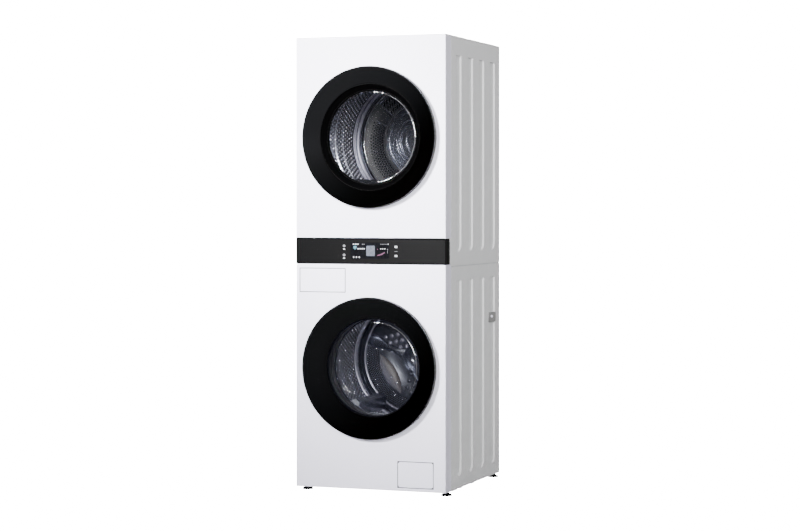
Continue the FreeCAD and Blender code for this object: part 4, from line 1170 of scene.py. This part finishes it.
@dataclass
class DryerDrum:
    """Relief of the drying drum and of the fixed wall behind it."""

    axis_z: float = DRYER_Z
    wall: float = 0.278
    step: float = 0.602
    well: float = 0.6095

    def studs(self) -> None:
        """Pearls in a lighter copy of the steel as painted highlights over the drum's wall; holes
        as dark discs of painted shade over the fixed step.
        """
        StudRule("dry_pearls", LIT_PEARL_STEEL, self.axis_z, FRONT_Y + 0.145, 0.365,
                 self.wall - 0.0002, 104, 15, 0.0046, 0.0032,
                 shape=StudShape.PEARL).build(Body.DRYER_DRUM)
        StudRule("dry_step_holes", HOLE_SHADE, self.axis_z, FRONT_Y + self.step - 0.0004, 0.064,
                 0.166, 24, 6, 0.0033, 0.0006, flat=True, arc_start=206.0, arc=88.0,
                 taper=0.95).build(Body.CABINET)
        StudRule("dry_well_ribs", DRUM_STEEL, self.axis_z, FRONT_Y + self.well - 0.001,
                 0.022, 0.116, 60, 2, 0.0036, 0.004, flat=True,
                 shape=StudShape.PEARL).build(Body.CABINET)

    def rings(self) -> None:
        """Fixed step round a well in darkened steel as painted shade, with a chrome wire as a
        painted highlight, drum beads in the lit steel copy as painted highlights, and the well's
        rings.
        """
        s, w = self.step, self.well
        step_line = [(s, 0.250), (s - 0.004, 0.253), (s - 0.005, 0.257), (s, 0.262),
                     (w, 0.262), (w, 0.154), (s - 0.004, 0.156), (s - 0.006, 0.160),
                     (s, 0.164)]
        wire_line = [(s - 0.0035, 0.2555), (s - 0.0055, 0.2570), (s - 0.0075, 0.2555),
                     (s - 0.0055, 0.2540)]
        # The chrome wire is a painted highlight: a bright line along the step's edge.
        lathe("dry_wire", wire_line, self.axis_z, RIM_CHROME, Body.CABINET)
        lathe("dry_step", step_line, self.axis_z, SHADED_WELL_STEEL, Body.CABINET)
        for i, (r, half, rise) in enumerate(((0.140, 0.005, 0.007), (0.104, 0.005, 0.009),
                                             (0.088, 0.006, 0.014), (0.060, 0.006, 0.010))):
            line = [(w, r - half), (w - rise * 0.8, r - half * 0.55), (w - rise, r),
                    (w - rise * 0.8, r + half * 0.55), (w, r + half)]
            lathe(f"dry_ring_{i}", line, self.axis_z, DRUM_STEEL, Body.CABINET)
        for i, (d, half, rise) in enumerate(((0.528, 0.004, 0.003), (0.545, 0.004, 0.003),
                                             (0.580, 0.016, 0.010))):
            line = [(d - half, self.wall - 0.0002), (d - half * 0.5, self.wall - rise * 0.8),
                    (d, self.wall - rise), (d + half * 0.5, self.wall - rise * 0.8),
                    (d + half, self.wall - 0.0002)]
            lathe(f"dry_bead_{i}", line, self.axis_z, LIT_BEAD_STEEL, Body.DRYER_DRUM)

    def vent(self) -> None:
        """Slotted vent with a chrome rim as a painted highlight, the vent plate in darkened steel
        and its slots as painted shade, a bright rib and a rivet on the fixed step.
        """
        near = FRONT_Y + self.step
        z = self.axis_z
        # The chrome rim round the vent is a painted highlight; the vent plate is the darkened
        # steel, painted shade.
        for name, finish, outline, rise in (
                ("dry_vent_rim", RIM_CHROME, sector(111.0, 138.0, 0.162, 0.247, z), 0.004),
                ("dry_vent", SHADED_WELL_STEEL, sector(112.2, 136.6, 0.1655, 0.2435, z), 0.0046),
                ("dry_rib", RIM_CHROME, [spot(154.3, 0.152, z), spot(155.7, 0.152, z),
                                         spot(156.0, 0.220, z), spot(155.0, 0.220, z)],
                 0.005)):
            plates(name, [(outline, near - rise, near - 0.0002)], finish, Body.CABINET)
        slots = [spot(115.5 + column * 3.7, 0.181 + row * 0.024, z)
                 for row in range(3) for column in range(6)]
        plates("dry_vent_slots", [
            (box_outline(x, up, 0.0052, 0.017), near - 0.0052, near - 0.0047)
            for x, up in slots], HOLE_SHADE, Body.CABINET)
        x, up = spot(157.0, 0.236, z)
        balls("dry_rivet", [(x, near - 0.001, up)], 0.0032, RIM_CHROME, Body.CABINET)

    def filter_top(self) -> None:
        """Slatted top of the lint filter, just inside the door."""
        slats = []
        for i in range(15):
            angle = -112.0 + i * 3.1
            x0, z0 = spot(angle, 0.1935, self.axis_z)
            x1, z1 = spot(angle, 0.2215, self.axis_z)
            slats.append(([(x0 - 0.0022, z0), (x0 + 0.0022, z0), (x1 + 0.0022, z1),
                           (x1 - 0.0022, z1)], FRONT_Y + 0.046, FRONT_Y + 0.064))
        plates("filter_slats", slats, RIM_CHROME, Body.LINT_FILTER)
        plates("filter_top", [(sector(-114.0, -66.0, 0.2135, 0.2218, self.axis_z),
                               FRONT_Y + 0.0465, FRONT_Y + 0.0635)],
               DARK_MOULDING, Body.LINT_FILTER)

    def build(self) -> None:
        """Build all relief of the drying drum."""
        self.studs()
        self.rings()
        self.vent()
        self.filter_top()


@dataclass
class Door:
    """Thin details of a door: lip, a painted glint at the glass edge, and the edge behind its ring.
    """

    prefix: str
    axis_z: float
    body: Body
    lip_depth: float
    lip_radius: float
    glint_depth: float
    glint_radius: float
    glint_from: float
    glint_half: float

    def build(self) -> None:
        """Build the inner lip, a chrome arc at the glass edge as a painted glint, the flange that
        stands in for the shade behind the rim, and its dark edge.
        """
        d, r = self.lip_depth, self.lip_radius
        profile = [(d - 0.001, r + 0.0012), (d - 0.003, r), (d - 0.001, r - 0.0015),
                   (d + 0.001, r - 0.0005)]
        lathe(self.prefix + "_lip", profile, self.axis_z, BLACK_MOULDING, self.body, 160)
        # Chrome arc thinning to both ends: a painted glint along the window's glass edge.
        name = self.prefix + "_edge_glint"
        show(name, arc_bead(name, self.glint_depth, self.glint_radius, self.glint_from, 96.0,
                            self.glint_half, self.axis_z, 0.42), RIM_CHROME, self.body)
        # Grey flange behind the rim's groove: it hides the white panel there and stands in for the
        # shadow behind the door.
        flange = [(-0.0052, 0.2835), (-0.0052, 0.2908), (-0.0042, 0.2908), (-0.0042, 0.2835)]
        lathe(self.prefix + "_flange", flange, self.axis_z, SILVER_TRIM, self.body, 160)
        plates(self.prefix + "_dark_edge", [
            (sector(40.0 + i * 10.0, 50.0 + i * 10.0, 0.2903, 0.29135, self.axis_z),
             FRONT_Y - 0.0135, FRONT_Y - 0.0045) for i in range(28)],
            BLACK_MOULDING, self.body)


@dataclass
class Studio:
    """Pale floor, soft light and the camera."""

    lens: float = 93.67
    place: Point = (3.0544, -8.3507, 1.1907)
    turn: float = 20.087
    shift: float = -0.0757
    paper: float = 26.0
    ambient: float = 0.68

    def floor(self) -> None:
        """Lay a plain pale floor."""
        work = bmesh.new()
        bmesh.ops.create_grid(work, x_segments=1, y_segments=1, size=60.0)
        pale = Finish("studio_white", (0.4, 0.4, 0.4), roughness=0.9, specular=0.0,
                      drift=0.002, grain_depth=0.0, wear=0.0)
        floor = show("studio_floor", close_up(work, "studio_floor"), pale, None)
        tree = pale.material().node_tree
        graph = Graph(tree)
        bright = graph.chain("ShaderNodeEmission", Strength=self.paper)
        graph.feed(tree.nodes["Material Output"].inputs["Surface"],
                   graph.by_camera(tree.nodes["Principled BSDF"].outputs[0], bright))

    def lamp(self, name: str, place: Point, aim: Point, size: float, power: float,
             spread: float = 180.0) -> None:
        """Hang one soft square light.

        Args:
            name: Name of the light.
            place: Where it hangs.
            aim: The point it faces.
            size: Side of the square.
            power: Light power in watts.
            spread: Width of its beam in degrees.
        """
        data = bpy.data.lights.new(name, "AREA")
        data.spread = math.radians(spread)
        data.size = size
        data.energy = power
        lamp = bpy.data.objects.new(name, data)
        lamp.location = place
        way = Vector(aim) - Vector(place)
        lamp.rotation_euler = way.to_track_quat("-Z", "Y").to_euler()
        bpy.context.scene.collection.objects.link(lamp)

    def light(self) -> None:
        """Light the stack from the upper front left, before pure white paper."""
        world = bpy.data.worlds.new("studio")
        world.use_nodes = True
        graph = Graph(world.node_tree)
        soft = world.node_tree.nodes["Background"]
        soft.inputs["Color"].default_value = (1.0, 1.0, 1.0, 1.0)
        soft.inputs["Strength"].default_value = self.ambient
        paper = graph.chain("ShaderNodeBackground", Strength=self.paper)
        graph.feed(world.node_tree.nodes["World Output"].inputs["Surface"],
                   graph.by_camera(soft.outputs[0], paper))
        bpy.context.scene.world = world
        self.lamp("key", (-2.6, -5.6, 3.4), (0.0, -0.36, 1.45), 1.3, 76.0, 27.0)
        self.lamp("fill", (-2.4, -5.4, 1.6), (0.0, -0.36, 1.0), 2.0, 14.0)
        self.lamp("grazing", (2.3, -7.4, 2.6), (0.3, 0.0, 1.6), 1.6, 46.0, 36.0)
        self.lamp("drum_dry", (0.10, -0.22, 1.60), (-0.20, -0.02, 1.27), 0.06, 1.1, 95.0)
        self.lamp("drum_wash", (0.10, -0.16, 0.65), (-0.2, 0.10, 0.42), 0.06, 1.6)

    def camera(self) -> None:
        """Set the camera level, in front and to the right."""
        data = bpy.data.cameras.new("camera")
        data.lens = self.lens
        data.sensor_width = 36.0
        data.shift_y = self.shift
        data.clip_end = 100.0
        camera = bpy.data.objects.new("camera", data)
        camera.location = self.place
        camera.rotation_euler = (math.radians(90.0), 0.0, math.radians(self.turn))
        bpy.context.scene.collection.objects.link(camera)
        bpy.context.scene.camera = camera

    def build(self) -> None:
        """Set up floor, light and camera."""
        self.floor()
        self.light()
        self.camera()


def main() -> None:
    """Build every sub-assembly in order."""
    logging.basicConfig(level=logging.INFO, format="%(message)s")
    steps: list[tuple[str, Callable[[], None]]] = [
        ("cabinet", Cabinet().build),
        ("control bar", ControlBar().build),
        ("door seal", DoorSeal().build),
        ("wash drum", WasherDrum().build),
        ("drying drum", DryerDrum().build),
        ("washer door", Door("washer", WASHER_Z, Body.WASHER_DOOR, 0.034, 0.2052, 0.052,
                             0.186, -35.0, 0.0017).build),
        ("dryer door", Door("dryer", DRYER_Z, Body.DRYER_DOOR, 0.0215, 0.1965, 0.032,
                            0.186, -88.0, 0.0026).build),
        ("studio", Studio().build),
    ]
    for name, step in steps:
        LOG.info("building %s", name)
        step()


if __name__ == "__main__":
    main()
